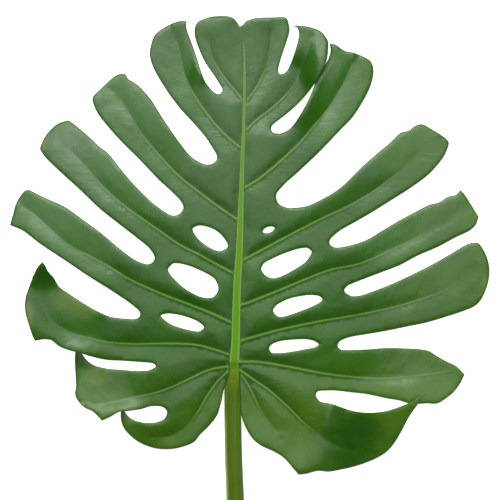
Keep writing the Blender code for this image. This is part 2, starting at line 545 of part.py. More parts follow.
def blade_mesh():
    """Upper face of the blade, waved and drooped, with how thick the sheet is at each vertex."""
    regions = split_regions(outline_points())
    holes = [smooth_curve(points, EDGE_STEP * 0.8, closed=True) for points in HOLES_PX.values()]
    guides = np.vstack([smooth_curve(points, CELL * 0.9) for points in VEINS_PX.values()])
    rib_y = np.linspace(0.0, 285.0, 40)
    rib = np.column_stack([midrib_x(rib_y), rib_y])
    vertices = []
    thick = []
    faces = []
    index_of = {}
    for region in ["main"] + list(SEAM_LOBES):
        loop = regions[region]
        own_holes = holes if region == "main" else []
        flat, triangles = fill_region(loop, own_holes, guides)
        margins = [(point, after) for (point, kind), (after, next_kind) in zip(loop, loop[1:] + loop[:1])
                   if kind == next_kind == "margin"]
        margin_starts = np.array([pair[0] for pair in margins])
        margin_ends = np.array([pair[1] for pair in margins])
        for hole in own_holes:
            margin_starts = np.vstack([margin_starts, hole])
            margin_ends = np.vstack([margin_ends, np.roll(hole, -1, axis=0)])
        margin_gap = distance_to_lines(flat, margin_starts, margin_ends)
        gaps, sides = vein_fields(flat)
        side_gap = gaps.min(axis=0)
        rib_gap = distance_to_lines(flat, rib[:-1], rib[1:])
        rib_gap = np.maximum(rib_gap - midrib_half_width(flat[:, 1]), 0.0)
        heights = sheet_height(flat, region, gaps, sides, rib_gap, margin_gap)
        near_rib = np.exp(-(side_gap / 2.5) ** 2) * np.clip(margin_gap / 12.0, 0.0, 1.0)
        near_rib = near_rib * np.clip((rib_gap - 3.0) / 6.0, 0.0, 1.0)
        room = (heights - BLADE_THICKNESS - 0.4) / (RIB_THICKNESS - BLADE_THICKNESS)
        near_rib = np.minimum(near_rib, np.clip(room, 0.0, 1.0))
        shared = [p for p, kind in loop if kind == "seam"]
        shared += [np.array(to_mm(end)) for end in SEAM_LOBES.get(region, ())]
        seam_keys = {(round(p[0], 3), round(p[1], 3)) for p in shared}
        places = []
        for point, height, rib_share in zip(flat, heights, near_rib):
            key = (round(point[0], 3), round(point[1], 3))
            if region != "main" and key in seam_keys and key in index_of:
                places.append(index_of[key])
                continue
            places.append(len(vertices))
            if region == "main":
                index_of[key] = len(vertices)
            vertices.append((point[0], point[1], height))
            thick.append(rib_share)
        faces += [tuple(places[i] for i in triangle) for triangle in triangles]
    return vertices, thick, faces


def material(name, colour, roughness):
    """A plain surface of one colour."""
    result = bpy.data.materials.new(name)
    result.use_nodes = True
    shader = result.node_tree.nodes["Principled BSDF"]
    shader.inputs["Base Color"].default_value = (*colour, 1.0)
    shader.inputs["Roughness"].default_value = roughness
    shader.inputs["Metallic"].default_value = 0.0
    result.diffuse_color = (*colour, 1.0)
    return result


def add_object(name, mesh, collection, finish):
    """Put a mesh in the scene as a named object with its material."""
    thing = bpy.data.objects.new(name, mesh)
    thing.data.materials.append(finish)
    collection.objects.link(thing)
    return thing


def build_blade(collection):
    """The blade: its upper face, given a thickness that grows along the side ribs."""
    vertices, thick, faces = blade_mesh()
    mesh = bpy.data.meshes.new("blade")
    mesh.from_pydata([(x / 1000, y / 1000, z / 1000) for x, y, z in vertices], [], faces)
    mesh.validate()
    sheet = bmesh.new()
    sheet.from_mesh(mesh)
    bmesh.ops.recalc_face_normals(sheet, faces=sheet.faces)
    if sum(face.normal.z * face.calc_area() for face in sheet.faces) < 0:
        bmesh.ops.reverse_faces(sheet, faces=sheet.faces)
    sheet.to_mesh(mesh)
    sheet.free()
    mesh.shade_smooth()
    blade = add_object("blade", mesh, collection, material("leaf_green", (0.055, 0.16, 0.035), 0.42))
    group = blade.vertex_groups.new(name="rib")
    for index, share in enumerate(thick):
        group.add([index], float(share), "REPLACE")
    solid = blade.modifiers.new("thickness", "SOLIDIFY")
    solid.thickness = RIB_THICKNESS / 1000
    solid.offset = -1.0
    solid.vertex_group = "rib"
    solid.thickness_vertex_group = BLADE_THICKNESS / RIB_THICKNESS
    return blade


def round_section(half, count):
    """Ring of a round stalk with a flat underside, from the top and clockwise, as (side, up)."""
    ring = []
    low = -math.sqrt(half ** 2 - (FLAT_SPOT_WIDTH / 2) ** 2)
    turn = math.atan2(FLAT_SPOT_WIDTH / 2, -low)
    for k in range(count // 2 + 1):
        angle = k / (count // 2) * (math.pi - turn)
        ring.append((half * math.sin(angle), half * math.cos(angle)))
    left = [(-side, up) for side, up in reversed(ring[1:])]
    return ring + left


def rib_section(half, depth, count):
    """Ring of the midrib: a low crown in the slot, a neck, and a wider round rib under the blade."""
    under = -(BLADE_THICKNESS + NODE_GAP + 0.15)
    wide = half + min(1.3, 0.6 * half)
    crown = 0.32 * half
    ring = [(0, crown), (0.62 * half, 0.72 * crown), (half, 0), (half, under)]
    arc = count // 2 + 1 - len(ring)
    for k in range(arc):
        angle = k / (arc - 0.5) * math.pi / 2
        ring.append((wide * math.cos(angle), under - 0.12 - depth * math.sin(angle)))
    left = [(-side, up) for side, up in reversed(ring[1:])]
    return ring + left


def stalk_stations():
    """Where the stalk's rings stand: centre, half width and how much of each is midrib."""
    stations = []
    for distance in np.concatenate([np.linspace(-STALK_LENGTH, -34.0, 13), np.linspace(-26.0, 3.0, 6)]):
        table = [(to_mm(p)[1], to_mm(p)[0]) for p in STALK_PX]
        share = max(0.0, -distance / STALK_LENGTH)
        half = (STALK_TOP_WIDTH + (STALK_CUT_WIDTH - STALK_TOP_WIDTH) * share) / 2
        knee = math.exp(-((distance + 11.0) / 11.0) ** 2)
        half += (KNEE_WIDTH - STALK_TOP_WIDTH) / 2 * knee
        stations.append((float(value_on_curve(table, distance)), float(distance), half, 0.0))
    head = to_mm(MIDRIB_PX[-1])[1]
    for y in np.concatenate([[9.0, 14.0], np.linspace(22.0, head, 17)]):
        stations.append((float(midrib_x(y)), float(y), float(midrib_half_width(y)), 1.0))
    return stations


def build_stalk(collection):
    """The stalk and midrib, lofted through rings that change from round to a keyed rib."""
    count = 16
    loft = bmesh.new()
    rings = []
    for x, y, half, is_rib in stalk_stations():
        if is_rib:
            surface = float(value_on_curve(MIDRIB_HEIGHT, y))
            depth = min(surface - 2.4, 0.6 + 1.35 * half)
            ring = rib_section(half, depth, count)
            base = surface
        else:
            ring = round_section(half, count)
            base = -min(up for _, up in ring)
        rings.append([loft.verts.new(((x + side) / 1000, y / 1000, (base + up) / 1000))
                      for side, up in ring])
    loops = []
    for ring in rings:
        loops.append([loft.edges.new((ring[i], ring[(i + 1) % len(ring)])) for i in range(len(ring))])
    for lower, upper in zip(rings, rings[1:]):
        for i in range(len(lower)):
            j = (i + 1) % len(lower)
            loft.faces.new((lower[i], lower[j], upper[j], upper[i]))
    loft.faces.new(rings[0])
    loft.faces.new(rings[-1])
    bmesh.ops.recalc_face_normals(loft, faces=loft.faces)
    mesh = bpy.data.meshes.new("stalk_midrib")
    loft.to_mesh(mesh)
    loft.free()
    mesh.shade_smooth()
    mesh.set_sharp_from_angle(angle=math.radians(50))
    return add_object("stalk_midrib", mesh, collection, material("stalk_green", (0.19, 0.33, 0.05), 0.4))


def clear_scene():
    """Remove every object the scene starts with."""
    for thing in list(bpy.data.objects):
        bpy.data.objects.remove(thing)


def main():
    """Build the leaf."""
    clear_scene()
    collection = bpy.data.collections.new(COLLECTION)
    bpy.context.scene.collection.children.link(collection)
    build_blade(collection)
    build_stalk(collection)


main()
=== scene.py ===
"""Monstera leaf, the looks: a cut leaf laid face up on a pale surface and seen from straight above.

The blade and the stalk replace the two plain CAD solids with finer ones of the same form. The blade is
a thin sheet with raised side veins in shallow valleys, rolled margins and a ribbed underside; the stalk
is one body from its clean cut, over the knee at the blade, to the tip of the midrib.

Names that end in PX hold places chosen on a straight-down view, 500 px square with y down.
Plan turns them into millimetres in the leaf's own frame: the origin is under the place where the
stalk meets the blade, +Y runs to the leaf's tip and +Z is up. Objects are in metres.
"""

from __future__ import annotations

import logging
import math
from dataclasses import dataclass, field
from enum import Enum

import bmesh
import bpy
import numpy as np
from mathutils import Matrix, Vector
from mathutils.geometry import delaunay_2d_cdt


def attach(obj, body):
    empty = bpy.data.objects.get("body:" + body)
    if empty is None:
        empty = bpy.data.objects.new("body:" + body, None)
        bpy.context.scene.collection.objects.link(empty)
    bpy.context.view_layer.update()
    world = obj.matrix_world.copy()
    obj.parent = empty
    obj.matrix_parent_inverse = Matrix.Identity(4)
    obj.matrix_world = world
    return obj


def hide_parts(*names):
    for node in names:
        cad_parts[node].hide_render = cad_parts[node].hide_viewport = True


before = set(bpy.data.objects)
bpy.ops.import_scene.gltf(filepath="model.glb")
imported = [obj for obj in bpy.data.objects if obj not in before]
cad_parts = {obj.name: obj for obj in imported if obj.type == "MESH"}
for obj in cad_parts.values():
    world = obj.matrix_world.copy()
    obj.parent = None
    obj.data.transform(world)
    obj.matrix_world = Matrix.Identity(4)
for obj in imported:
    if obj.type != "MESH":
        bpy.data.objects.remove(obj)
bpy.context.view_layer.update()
LOG = logging.getLogger("leaf")

# Sizes in millimetres
PX_TO_MM = 0.8
ORIGIN_PX = (232.5, 372.0)
CELL = 2.3
EDGE_STEP = 2.0
BLADE_THICKNESS = 0.8
RIB_THICKNESS = 2.4
SLOT_OVERLAP = 0.35
CREST_HEIGHT = 3.0
CREST_REACH = 8.5
MARGIN_REACH = 1.6
MARGIN_ROLL = 0.2
SIDE_DROOP = 14.5
SIDE_REACH = 190.0
LOWEST_TOP = 1.25
TALLEST_TOP = 30.9
VEIN_WIDTH = 1.75
VEIN_HEIGHT = 0.45
GROOVE_OFFSET = 0.6
GROOVE_WIDTH = 0.5
SLOW_WAVE = 0.6
QUICK_WAVE = 0.11
QUILT_HEIGHT = 0.035
MINOR_VEIN_SPACING = 8.5
LOBE_BASE_REACH = 22.0
TWIST_REACH = 20.0
INSET = 0.7
SNAP = 1e-3
STALK_LENGTH = 260.0
STALK_TOP_WIDTH = 13.2
STALK_CUT_WIDTH = 16.0
KNEE_WIDTH = 14.0
FLAT_SPOT_WIDTH = 3.2

# Height of the blade's upper face along the midrib, as (y, z) in millimetres
MIDRIB_HEIGHT = [(-110, 4.0), (-85, 6.2), (-50, 10.2), (-20, 13.0), (0, 14.0), (40, 17.2), (90, 20.0),
                 (140, 20.6), (190, 18.6), (220, 16.1), (250, 13.7), (275, 12.3), (300, 11.5)]

# Midrib: centre line, and width on the upper face as (y px, width px)
MIDRIB_PX = [(234, 366), (235.5, 345), (236.5, 305), (237.5, 280), (239.5, 250), (240.5, 220),
             (242.5, 160), (244, 115), (244.5, 72)]
MIDRIB_WIDTH_PX = [(372, 10.5), (350, 9.0), (300, 8.0), (250, 7.0), (220, 6.0), (190, 4.6), (150, 3.6),
                   (110, 2.8), (72, 2.2)]

# Stalk: centre line below the blade, as (x px, y px)
STALK_PX = [(234, 366), (233.2, 380), (232.8, 400), (233.0, 435), (233.6, 460), (234.8, 490),
            (237.4, 560), (240.6, 630), (244.0, 697)]

# Corners of the outline that stay sharp
SHARP_PX = {
    (188.5, 21.3), (8.8, 225), (45, 261.5), (36, 340.5), (75.5, 346), (102, 420.8), (122, 406.5),
    (298.5, 474.7), (426, 393.5), (466.5, 375.5), (480.3, 216.5), (462, 189.3), (329.5, 43),
    (293, 27), (240, 26.5),
}

# Outline, counter-clockwise from the notch at the leaf's tip: lobes L1 to L8, then R8 back to R1.
# A list named after two lobes is the round inner end of the slit between them.
OUTLINE_PX = {
    "notch": [(240, 26.5)],
    "L1": [(238, 23.5), (234, 18.5), (228, 16.2), (212, 16.3), (204, 18.7), (198, 21.3), (194.6, 28),
           (195, 37), (199, 49), (205, 62), (215, 77), (221.5, 87.5)],
    "L1L2": [(222.7, 91), (220, 94.5), (216.5, 94.3)],
    "L2": [(213, 91.7), (205.6, 82.6), (201.4, 72.6), (194.2, 50), (187, 30), (186.3, 22.5),
           (188.5, 21.3), (180, 20.8), (170, 24), (160, 30), (155, 34.5), (152, 41), (149.8, 55),
           (154, 69), (166, 89.5), (180, 108.5), (195, 125), (206, 138), (214, 150.5)],
    "L2L3": [(217, 156), (217, 160), (214, 163.5), (209, 165), (204, 164.5)],
    "L3": [(192, 157.5), (180, 143), (165, 121.5), (151, 99.5), (141, 88), (135, 83), (128.5, 79),
           (125.5, 74.3), (118, 74.3), (110, 80), (100, 89.5), (93.5, 96), (92.6, 101), (97, 112),
           (105, 123), (120, 140), (140, 160), (160, 181), (170, 190), (180, 200)],
    "L3L4": [(183, 204.5), (183.8, 208.5), (181, 213), (176, 215.7), (170, 214.8)],
    "L4": [(155, 204.5), (140, 190.5), (128, 177.5), (117, 164), (108, 153), (100, 147), (85, 133),
           (70, 121), (67, 119.5), (56, 123.5), (46, 134), (41, 144), (39.8, 149), (45, 157),
           (60, 171.5), (80, 189.5), (100, 208.5), (120, 224.5), (140, 240), (150, 248.5)],
    "L4L5": [(154, 254.5), (155.2, 258), (153.5, 261.5), (150, 263.8), (146, 264)],
    "L5": [(135, 259.5), (120, 248.5), (100, 232), (82, 219), (64, 206.5), (43, 197), (30, 190.5),
           (26, 189.3), (22, 191.5), (15.5, 201), (11.5, 214.5), (8.8, 225), (22, 230.5), (40, 244),
           (62, 258.5), (86, 274.5), (110, 289.5), (128, 301.5), (137, 308.5)],
    "L5L6": [(139.5, 311), (140.5, 314.5), (138.5, 317.8), (134, 319)],
    "L6": [(120, 318), (110, 316.5), (95, 309.5), (80, 300.5), (68, 292.5), (60, 286.5), (55, 277.5),
           (50, 271), (48, 266), (45, 261.5), (39, 268), (34.5, 276.5), (30, 287), (26.5, 298),
           (26.5, 311), (30, 324), (34, 336.5), (36, 340.5), (45, 339), (52, 339.8), (60, 346),
           (70, 350), (80, 352.5), (92, 356.5), (107, 360), (125, 361), (140, 362)],
    "L6L7": [(152, 363), (155, 364.5), (156, 366.5), (153, 368.5), (149, 370.3)],
    "L7": [(137, 371), (120, 370), (106, 369), (94, 366.3), (86, 361), (80.5, 353.8), (75.5, 346),
           (74, 353), (73.5, 361), (73.7, 370), (74.8, 388), (73.9, 394), (76, 400), (84, 408),
           (92, 411.5), (98, 416.5), (102, 420.8), (111, 416.5), (119, 411.8), (130, 410.7),
           (142, 409), (151, 406.5), (160, 406.5)],
    "L7L8": [(163, 407.5), (166, 410), (167, 413), (165.5, 417), (163, 420)],
    "L8": [(155, 422.8), (143, 423), (132, 420.3), (125.5, 415), (122, 406.5), (120, 413), (120, 420),
           (121, 425), (124, 431), (133, 440), (144, 446.5), (157, 450), (172, 450), (184, 447),
           (194, 442.5), (200, 435), (209, 426), (217, 415.5), (221, 403), (223.5, 391), (226, 383),
           (228.6, 376)],
    "R8": [(239.3, 376), (239.7, 386), (240.4, 400), (241, 414), (246, 428), (253, 439), (262, 446),
           (274, 451.5), (284, 458), (292, 467), (298.5, 474.7), (306, 474), (318, 471.5),
           (329, 472.8), (340, 471.3), (352, 469), (371, 462.6), (386, 454.5), (394.4, 445.4),
           (402, 432), (409, 417), (417, 404.5), (422.5, 396), (426, 393.5), (417, 397),
           (407, 403.5), (396, 408), (384, 411.3), (370, 412.2), (356, 410.7), (344, 407.5),
           (332, 404), (321, 402)],
    "R7R8": [(318, 399.5), (316, 396), (317, 392), (320, 391)],
    "R7": [(334, 390.7), (350, 392.5), (367, 394.5), (387, 398.8), (400, 401), (407, 403.3),
           (417, 404.5), (428, 404), (438, 404.3), (447, 399.5), (456, 392.3), (462, 384.4),
           (466.5, 375.5), (458, 367), (448, 362), (438, 356.5), (430, 351.5), (418, 349.5),
           (403, 348.7), (386, 348.3), (370, 349.3), (355, 349.8), (347, 350)],
    "R6R7": [(340, 349.3), (337.5, 345.5), (340, 341)],
    "R6": [(350, 337), (365, 334.5), (386, 331), (408, 326.5), (428, 322.5), (447, 317), (464, 311.5),
           (476, 306.5), (482.5, 300), (487.5, 290), (490.8, 278), (491, 266), (487.5, 254),
           (482, 244.5), (479, 242.5), (470, 243.5), (460, 249), (442, 259.5), (424, 269),
           (406, 277.5), (388, 285.5), (372, 291.5), (361, 295.2), (352, 296)],
    "R5R6": [(345.7, 293), (344, 290), (347, 286), (352, 283.5)],
    "R5": [(365, 278.5), (382, 272), (400, 265), (418, 255.5), (438, 247), (457, 237), (470, 231),
           (477, 225), (480.3, 216.5), (475, 208), (467, 195), (462, 189.3), (457, 194.5),
           (449, 196.3), (440, 202), (430, 204.5), (415, 212), (400, 220), (382, 230.5),
           (367, 239.5), (352, 244.7), (340, 247.3), (334, 247.3)],
    "R4R5": [(330, 245), (329, 242), (331, 238)],
    "R4": [(340, 230.5), (355, 222), (370, 213.3), (393, 199), (411, 187.5), (429, 174), (443, 158),
           (448.5, 147), (449.2, 142), (445, 137), (434, 130), (425, 124.8), (421, 123.8),
           (414.5, 126), (409, 130.3), (400, 133), (390, 142.5), (375, 155), (360, 168.5),
           (345, 183.5), (335, 191.5), (320, 200.2), (306, 206.3), (294, 208)],
    "R3R4": [(288, 208.2), (279, 204.5), (276, 198), (277, 193)],
    "R3": [(285, 184), (300, 170.5), (320, 151.5), (341, 129.5), (352, 118), (361.6, 103.7),
           (369.5, 89), (373.5, 76), (373.7, 67), (371, 60.5), (365, 56.5), (355, 52.5), (345, 50.5),
           (336, 44.5), (329.5, 43), (330.5, 50), (328.5, 58.5), (321.5, 70), (316, 79),
           (313.5, 88), (308, 101), (300, 115.5), (290, 129), (281, 133.8)],
    "R2R3": [(276, 134), (272.5, 133), (271, 130), (272, 126)],
    "R2": [(280, 119.5), (290, 111.5), (300, 102), (310, 90.5), (318.5, 78), (326, 62), (328, 48),
           (327.5, 41.5), (320, 32), (309, 27.8), (298, 26.2), (293, 27), (297.5, 29.5), (298.8, 35),
           (297.5, 43), (293, 57.5), (287, 71)],
    "R1R2": [(283, 74.3), (280, 74.5), (278.3, 72.5), (278, 70)],
    "R1": [(281.5, 57), (286.5, 42), (289.7, 30), (287.5, 19), (285, 16.8), (270, 17.3), (255, 18.2),
           (246, 21), (243, 24.5)],
}

# Holes, each a smooth closed curve
HOLES_PX = {
    "upper_left": [(193, 229), (200, 225.7), (212, 228.5), (221, 234.5), (227.5, 243.5),
                   (227.5, 247.5), (220, 251.2), (209, 247), (198, 238.5)],
    "middle_left": [(168.5, 269.5), (174, 263.3), (187, 265), (203, 271.5), (215, 279), (218.5, 289),
                    (213, 297), (201, 296.5), (185, 288), (172, 276)],
    "lower_left": [(161, 315.5), (168, 313.3), (182, 315.3), (197, 320.7), (204.3, 327), (199, 331.2),
                   (184, 328.5), (170, 323.5)],
    "small_right": [(262.4, 231.9), (265.6, 228), (271.4, 226.6), (274.6, 228.1), (271.4, 232),
                    (265.6, 233.4)],
    "upper_right": [(261.2, 269), (264, 263.2), (270, 259.7), (280, 255), (290, 251.2), (300, 248.4),
                    (307.5, 248.2), (311.4, 252), (306, 261), (294.6, 269), (280, 276.5), (272, 278),
                    (265, 275)],
    "middle_right": [(273.1, 309.5), (277, 304.5), (288, 298.9), (300, 296), (311, 294.8), (319, 296),
                     (322.2, 299.4), (317.5, 303.6), (300, 310.9), (287, 315.4), (279.5, 316.6),
                     (274.7, 313.8)],
    "lower_right": [(269.1, 347.8), (272.3, 343.8), (280.3, 340.9), (292, 339.5), (305.8, 339.1),
                    (313.8, 340.8), (318.7, 344.3), (315, 347.2), (304.2, 349.2), (291.5, 351.5),
                    (280.3, 352.8), (271.5, 352.4)],
}

# Side veins, from the midrib to the tip of each lobe, and how wide each starts against the widest
VEINS_PX = {
    "L1": (0.45, [(241, 98), (236, 92), (226, 80), (218, 68), (212, 55), (209, 40)]),
    "L2": (0.7, [(240, 148), (226, 136), (214, 123), (200, 104), (190, 87), (183, 68), (180, 52),
                 (176, 38)]),
    "L3": (0.85, [(237.5, 220), (220, 208), (200, 193), (180, 177), (160, 156), (143, 135),
                  (130, 113), (119, 97), (110, 88)]),
    "L4": (1.0, [(235.5, 274.5), (218, 265), (200, 255), (180, 245), (160, 231), (140, 217),
                 (120, 202), (100, 183), (85, 165), (70, 149), (58, 137)]),
    "L5": (1.1, [(232, 322.5), (210, 312.5), (190, 304.5), (160, 293), (130, 279.5), (110, 267),
                 (90, 256), (70, 246), (50, 228), (33, 213), (22, 206)]),
    "L6": (1.05, [(231, 355), (215, 349.5), (195, 344.5), (165, 343.5), (135, 344), (110, 342.5),
                 (90, 338), (70, 332), (52, 320), (42, 303), (38, 288)]),
    "L7": (0.95, [(230, 366), (210, 369.5), (190, 378.5), (172, 387), (155, 393), (130, 398),
                 (105, 403), (92, 404)]),
    "L8": (0.65, [(229, 370), (217, 382), (207, 396), (197, 413), (185, 427), (168, 437),
                 (150, 438)]),
    "R8b": (0.5, [(239.5, 373), (245, 380), (250, 388), (262, 412), (276, 430)]),
    "R8": (0.85, [(239, 369), (250, 377), (270, 391), (290, 409), (306, 425), (330, 442), (352, 450),
                 (378, 440)]),
    "R7": (1.25, [(238, 361.5), (260, 362), (290, 367), (320, 373), (350, 377), (380, 379),
                  (410, 377), (440, 374), (456, 372)]),
    "R6": (1.15, [(240, 341), (250, 337.7), (282, 329), (317, 321.7), (345.7, 317), (380, 310.5),
                  (410, 303), (440, 293), (462, 281), (478, 270)]),
    "R5": (1.1, [(240, 305), (250, 301.8), (282, 289), (302.6, 280.3), (330, 270), (360, 263.5),
                 (390, 250.5), (420, 236), (450, 219), (468, 208)]),
    "R4": (1.0, [(241, 261), (262, 250), (290, 235), (320, 219.5), (350, 205), (375, 190),
                 (400, 171), (420, 153), (434, 141)]),
    "R3": (0.9, [(242.5, 189.5), (260, 178.5), (280, 162), (300, 142.5), (312, 128), (328, 108),
                 (345, 80), (352, 64)]),
    "R2": (0.6, [(245, 132), (257, 120), (270, 110), (281, 100), (290, 90), (300, 72), (308, 52),
                 (311, 38)]),
    "R1": (0.4, [(246, 102), (258, 85), (266, 66), (270, 46), (271, 32)]),
    "top": (0.55, [(244.5, 82), (244.4, 60), (243.5, 42), (241.8, 29)]),
}

# Share of a side vein's length over which it shows, where that isn't all of it
VEIN_SHOWS = {
    "L1": 0.6, "L2": 0.6, "L3": 0.7, "L4": 0.8, "L5": 0.75, "L6": 0.75, "L7": 0.8, "L8": 0.55,
    "R1": 0.45, "R2": 0.5, "R3": 0.65, "R4": 0.75, "R5": 0.8, "R6": 0.85, "R8": 0.55, "R8b": 0.6,
    "top": 0.7,
}

# How far each lobe's tip is raised or let down past the droop of the whole leaf, and how far its
# leading edge (counter-clockwise side) is raised against its other edge, in millimetres
LOBE_POSE = {
    "L1": (0.0, 0.0), "L2": (1.0, 2.0), "L3": (4.0, 1.5), "L4": (1.0, 2.5), "L5": (-3.5, 2.0),
    "L6": (9.0, 4.0), "L7": (2.0, 5.0), "L8": (-4.0, 1.0),
    "R1": (0.0, 0.0), "R2": (6.0, -1.0), "R3": (0.0, 0.0), "R4": (3.0, -1.5), "R5": (-3.5, -2.5),
    "R6": (-1.5, -2.5), "R7": (-1.0, -4.5), "R8": (3.0, 0.0),
}

# How deep the valley at a vein is near the midrib, on its upper side (towards the leaf's tip) and on
# its lower side, and half way between two veins
VALLEY_BASE = (1.0, 0.4, 0.75)

# The same further out: for each lobe its upper side half way out and at the tip, then its lower side
VALLEY = {
    "L1": ((0.9, 0.2), (0.8, 0.2)), "L2": ((1.4, 0.9), (1.4, 0.4)), "L3": ((1.5, 0.4), (1.8, 0.2)),
    "L4": ((0.7, 0.1), (2.5, 0.5)), "L5": ((0.8, 0.3), (1.8, 0.9)), "L6": ((0.4, 0.1), (1.6, 1.0)),
    "L7": ((0.3, 0.3), (1.6, 0.9)), "L8": ((1.0, 1.0), (1.0, 1.0)),
    "R1": ((0.9, 0.2), (0.7, 0.2)), "R2": ((1.6, 0.8), (0.8, 0.2)), "R3": ((2.2, 0.9), (1.3, 0.1)),
    "R4": ((1.3, 0.3), (1.1, 0.0)), "R5": ((0.1, 0.1), (1.3, 0.2)), "R6": ((0.3, 0.1), (0.8, 0.1)),
    "R7": ((0.1, 0.1), (1.2, 0.3)), "R8": ((0.4, 0.0), (0.9, 0.0)),
}

# Local swells of the sheet: lobe, place, radii along x and y in px, and height in millimetres
SWELLS_PX = {
    "L6_lower_edge_up": ("L6", 85, 357, 36, 14, 4.5),
    "L6_upper_edge_up": ("L6", 124, 309, 22, 22, 6.5),
    "L7_lower_edge_up": ("L7", 124, 413, 30, 10, 2.5),
    "R8_lower_edge_up": ("", 302, 476, 25, 24, 5.5),
    "R8_upper_edge_up": ("R8", 352, 400, 32, 38, 11.0),
    "R8_left_edge_up": ("", 264, 464, 34, 40, 5.0),
    "L4_tip_dips": ("L4", 62, 118, 24, 16, -1.5),
    "under_middle_left_hole": ("", 196, 290, 24, 11, 1.0),
    "under_upper_left_hole": ("", 211, 252, 14, 9, 0.7),
    "R3_inner_edge_up": ("R3", 303, 101, 16, 34, 5.5),
    "L2_inner_edge_up": ("L2", 208, 76, 14, 34, 4.5),
    "R2_inner_edge_up": ("R2", 286, 66, 14, 34, 2.5),
    "L6_tip_curls_up": ("L6", 45, 259, 30, 19, 15.0),
    "R8_tip_lifts_over_R7": ("R8", 424, 396, 30, 48, 11.0),
    "R2_edge_over_R3": ("R2", 322, 72, 16, 36, 8.0),
    "R8_fold": ("R8", 360, 478, 34, 30, -2.0),
}

# Places where the green is darker (above 0) or yellower (below 0): lobe or "" for any, place, radii
# along x and y in px, turn in degrees, and how much. The darker places are painted shade, where a lobe
# turns away from the light or lies under a fold; the yellower ones are the leaf's own colour.
TINTS_PX = {
    "R8_under_fold": ("", 349, 440, 36, 38, 12, 1.0),
    "L6_behind_fold": ("", 124, 327, 30, 15, 0, 0.9),
    "L6_curled_tip": ("L6", 42, 270, 9, 13, 20, 0.2),
    "L2_inner_side": ("L2", 200, 86, 7, 24, 20, 0.7),
    "R3_inner_side": ("R3", 306, 112, 10, 34, -25, 0.8),
    "R2_inner_side": ("R2", 297, 92, 8, 26, -30, 0.6),
    "over_L5_vein": ("", 190, 291, 30, 8, -25, 0.6),
    "over_L4_vein": ("", 207, 256, 18, 7, -28, 0.5),
    "L8_tip": ("L8", 128, 432, 12, 14, 0, 0.25),
    "R4_upper_side": ("R4", 380, 177, 36, 12, -30, 0.6),
    "R6_lower_side": ("R6", 415, 312, 36, 8, -14, 0.35),
    "L3_upper_side": ("L3", 157, 132, 12, 24, -38, 0.35),
    "L5_upper_side": ("L5", 56, 210, 22, 9, 30, 0.3),
    "L6_olive_patch": ("L6", 74, 303, 26, 12, -30, -0.2),
    "L7_olive_patch": ("L7", 95, 378, 13, 9, 0, -0.2),
    "L6_left_edge": ("L6", 29, 316, 6, 14, 0, -0.4),
    "R6_right_edge": ("R6", 488, 286, 6, 14, 0, -0.25),
    "L4_left_edge": ("L4", 41, 146, 4, 8, 0, -0.4),
    "R5_right_edge": ("R5", 479, 216, 4, 7, 0, -0.4),
}

# Softboxes: place and size in metres, power in watts; each is aimed at the origin
SOFTBOXES = {
    "key_softbox": ((-0.3, 2.9, 3.4), (4.9, 2.2), 214.0),
    "overhead_softbox": ((-0.1, 0.6, 4.2), (5.8, 2.5), 82.0),
}
WORLD_STRENGTH = 0.07
FLOOR_GLOW = 0.8

# Lobes that pass over or under a neighbour are meshed on their own, from a seam across their base
SEAM_LOBES = {
    "L7": ((149, 370.3), (160, 406.5)),
    "R3": ((285, 184), (281, 133.8)),
    "R8": ((284, 458), (321, 402)),
}


class Tone(Enum):
    """Colours, as sRGB hex, each judged."""

    DEEP_GREEN = "#214D06"
    MID_GREEN = "#2D6408"
    WARM_GREEN = "#426A0C"
    SHADED_GREEN = "#225404"
    PALE_GREEN = "#3F7212"
    VEIN_GREEN = "#70A03A"
    UNDERSIDE = "#6E9A58"
    UNDERSIDE_RIB = "#8FB56A"
    STALK_GREEN = "#47690C"
    STALK_SHADE = "#445608"
    STALK_LIGHT = "#8A9A40"
    MIDRIB_GREEN = "#5A9210"
    MIDRIB_TIP = "#5C8A38"
    MIDRIB_EDGE = "#84AC50"
    KNEE_BROWN = "#62600F"
    CUT_PITH = "#B9C98A"
    SCAR_BROWN = "#6B5630"
    MARGIN_YELLOW = "#7F8C2C"
    MARGIN_BROWN = "#3E3A14"
    FLOOR = "#FAFAFA"


class Side(Enum):
    """Faces of the blade, each a material slot of the sheet."""

    UPPER = 0
    UNDER = 1


def linear(tone: Tone) -> tuple[float, float, float, float]:
    """Turn a tone into the linear colour that shaders take.

    Args:
        tone: The colour to convert.

    Returns:
        Red, green, blue and full alpha, linear.
    """
    channels = (int(tone.value[i:i + 2], 16) / 255 for i in (1, 3, 5))
    rgb = (c / 12.92 if c <= 0.04045 else ((c + 0.055) / 1.055) ** 2.4 for c in channels)
    return (*rgb, 1.0)


def ease(share):
    """Smooth step of a share from 0 to 1."""
    return share * share * (3 - 2 * share)


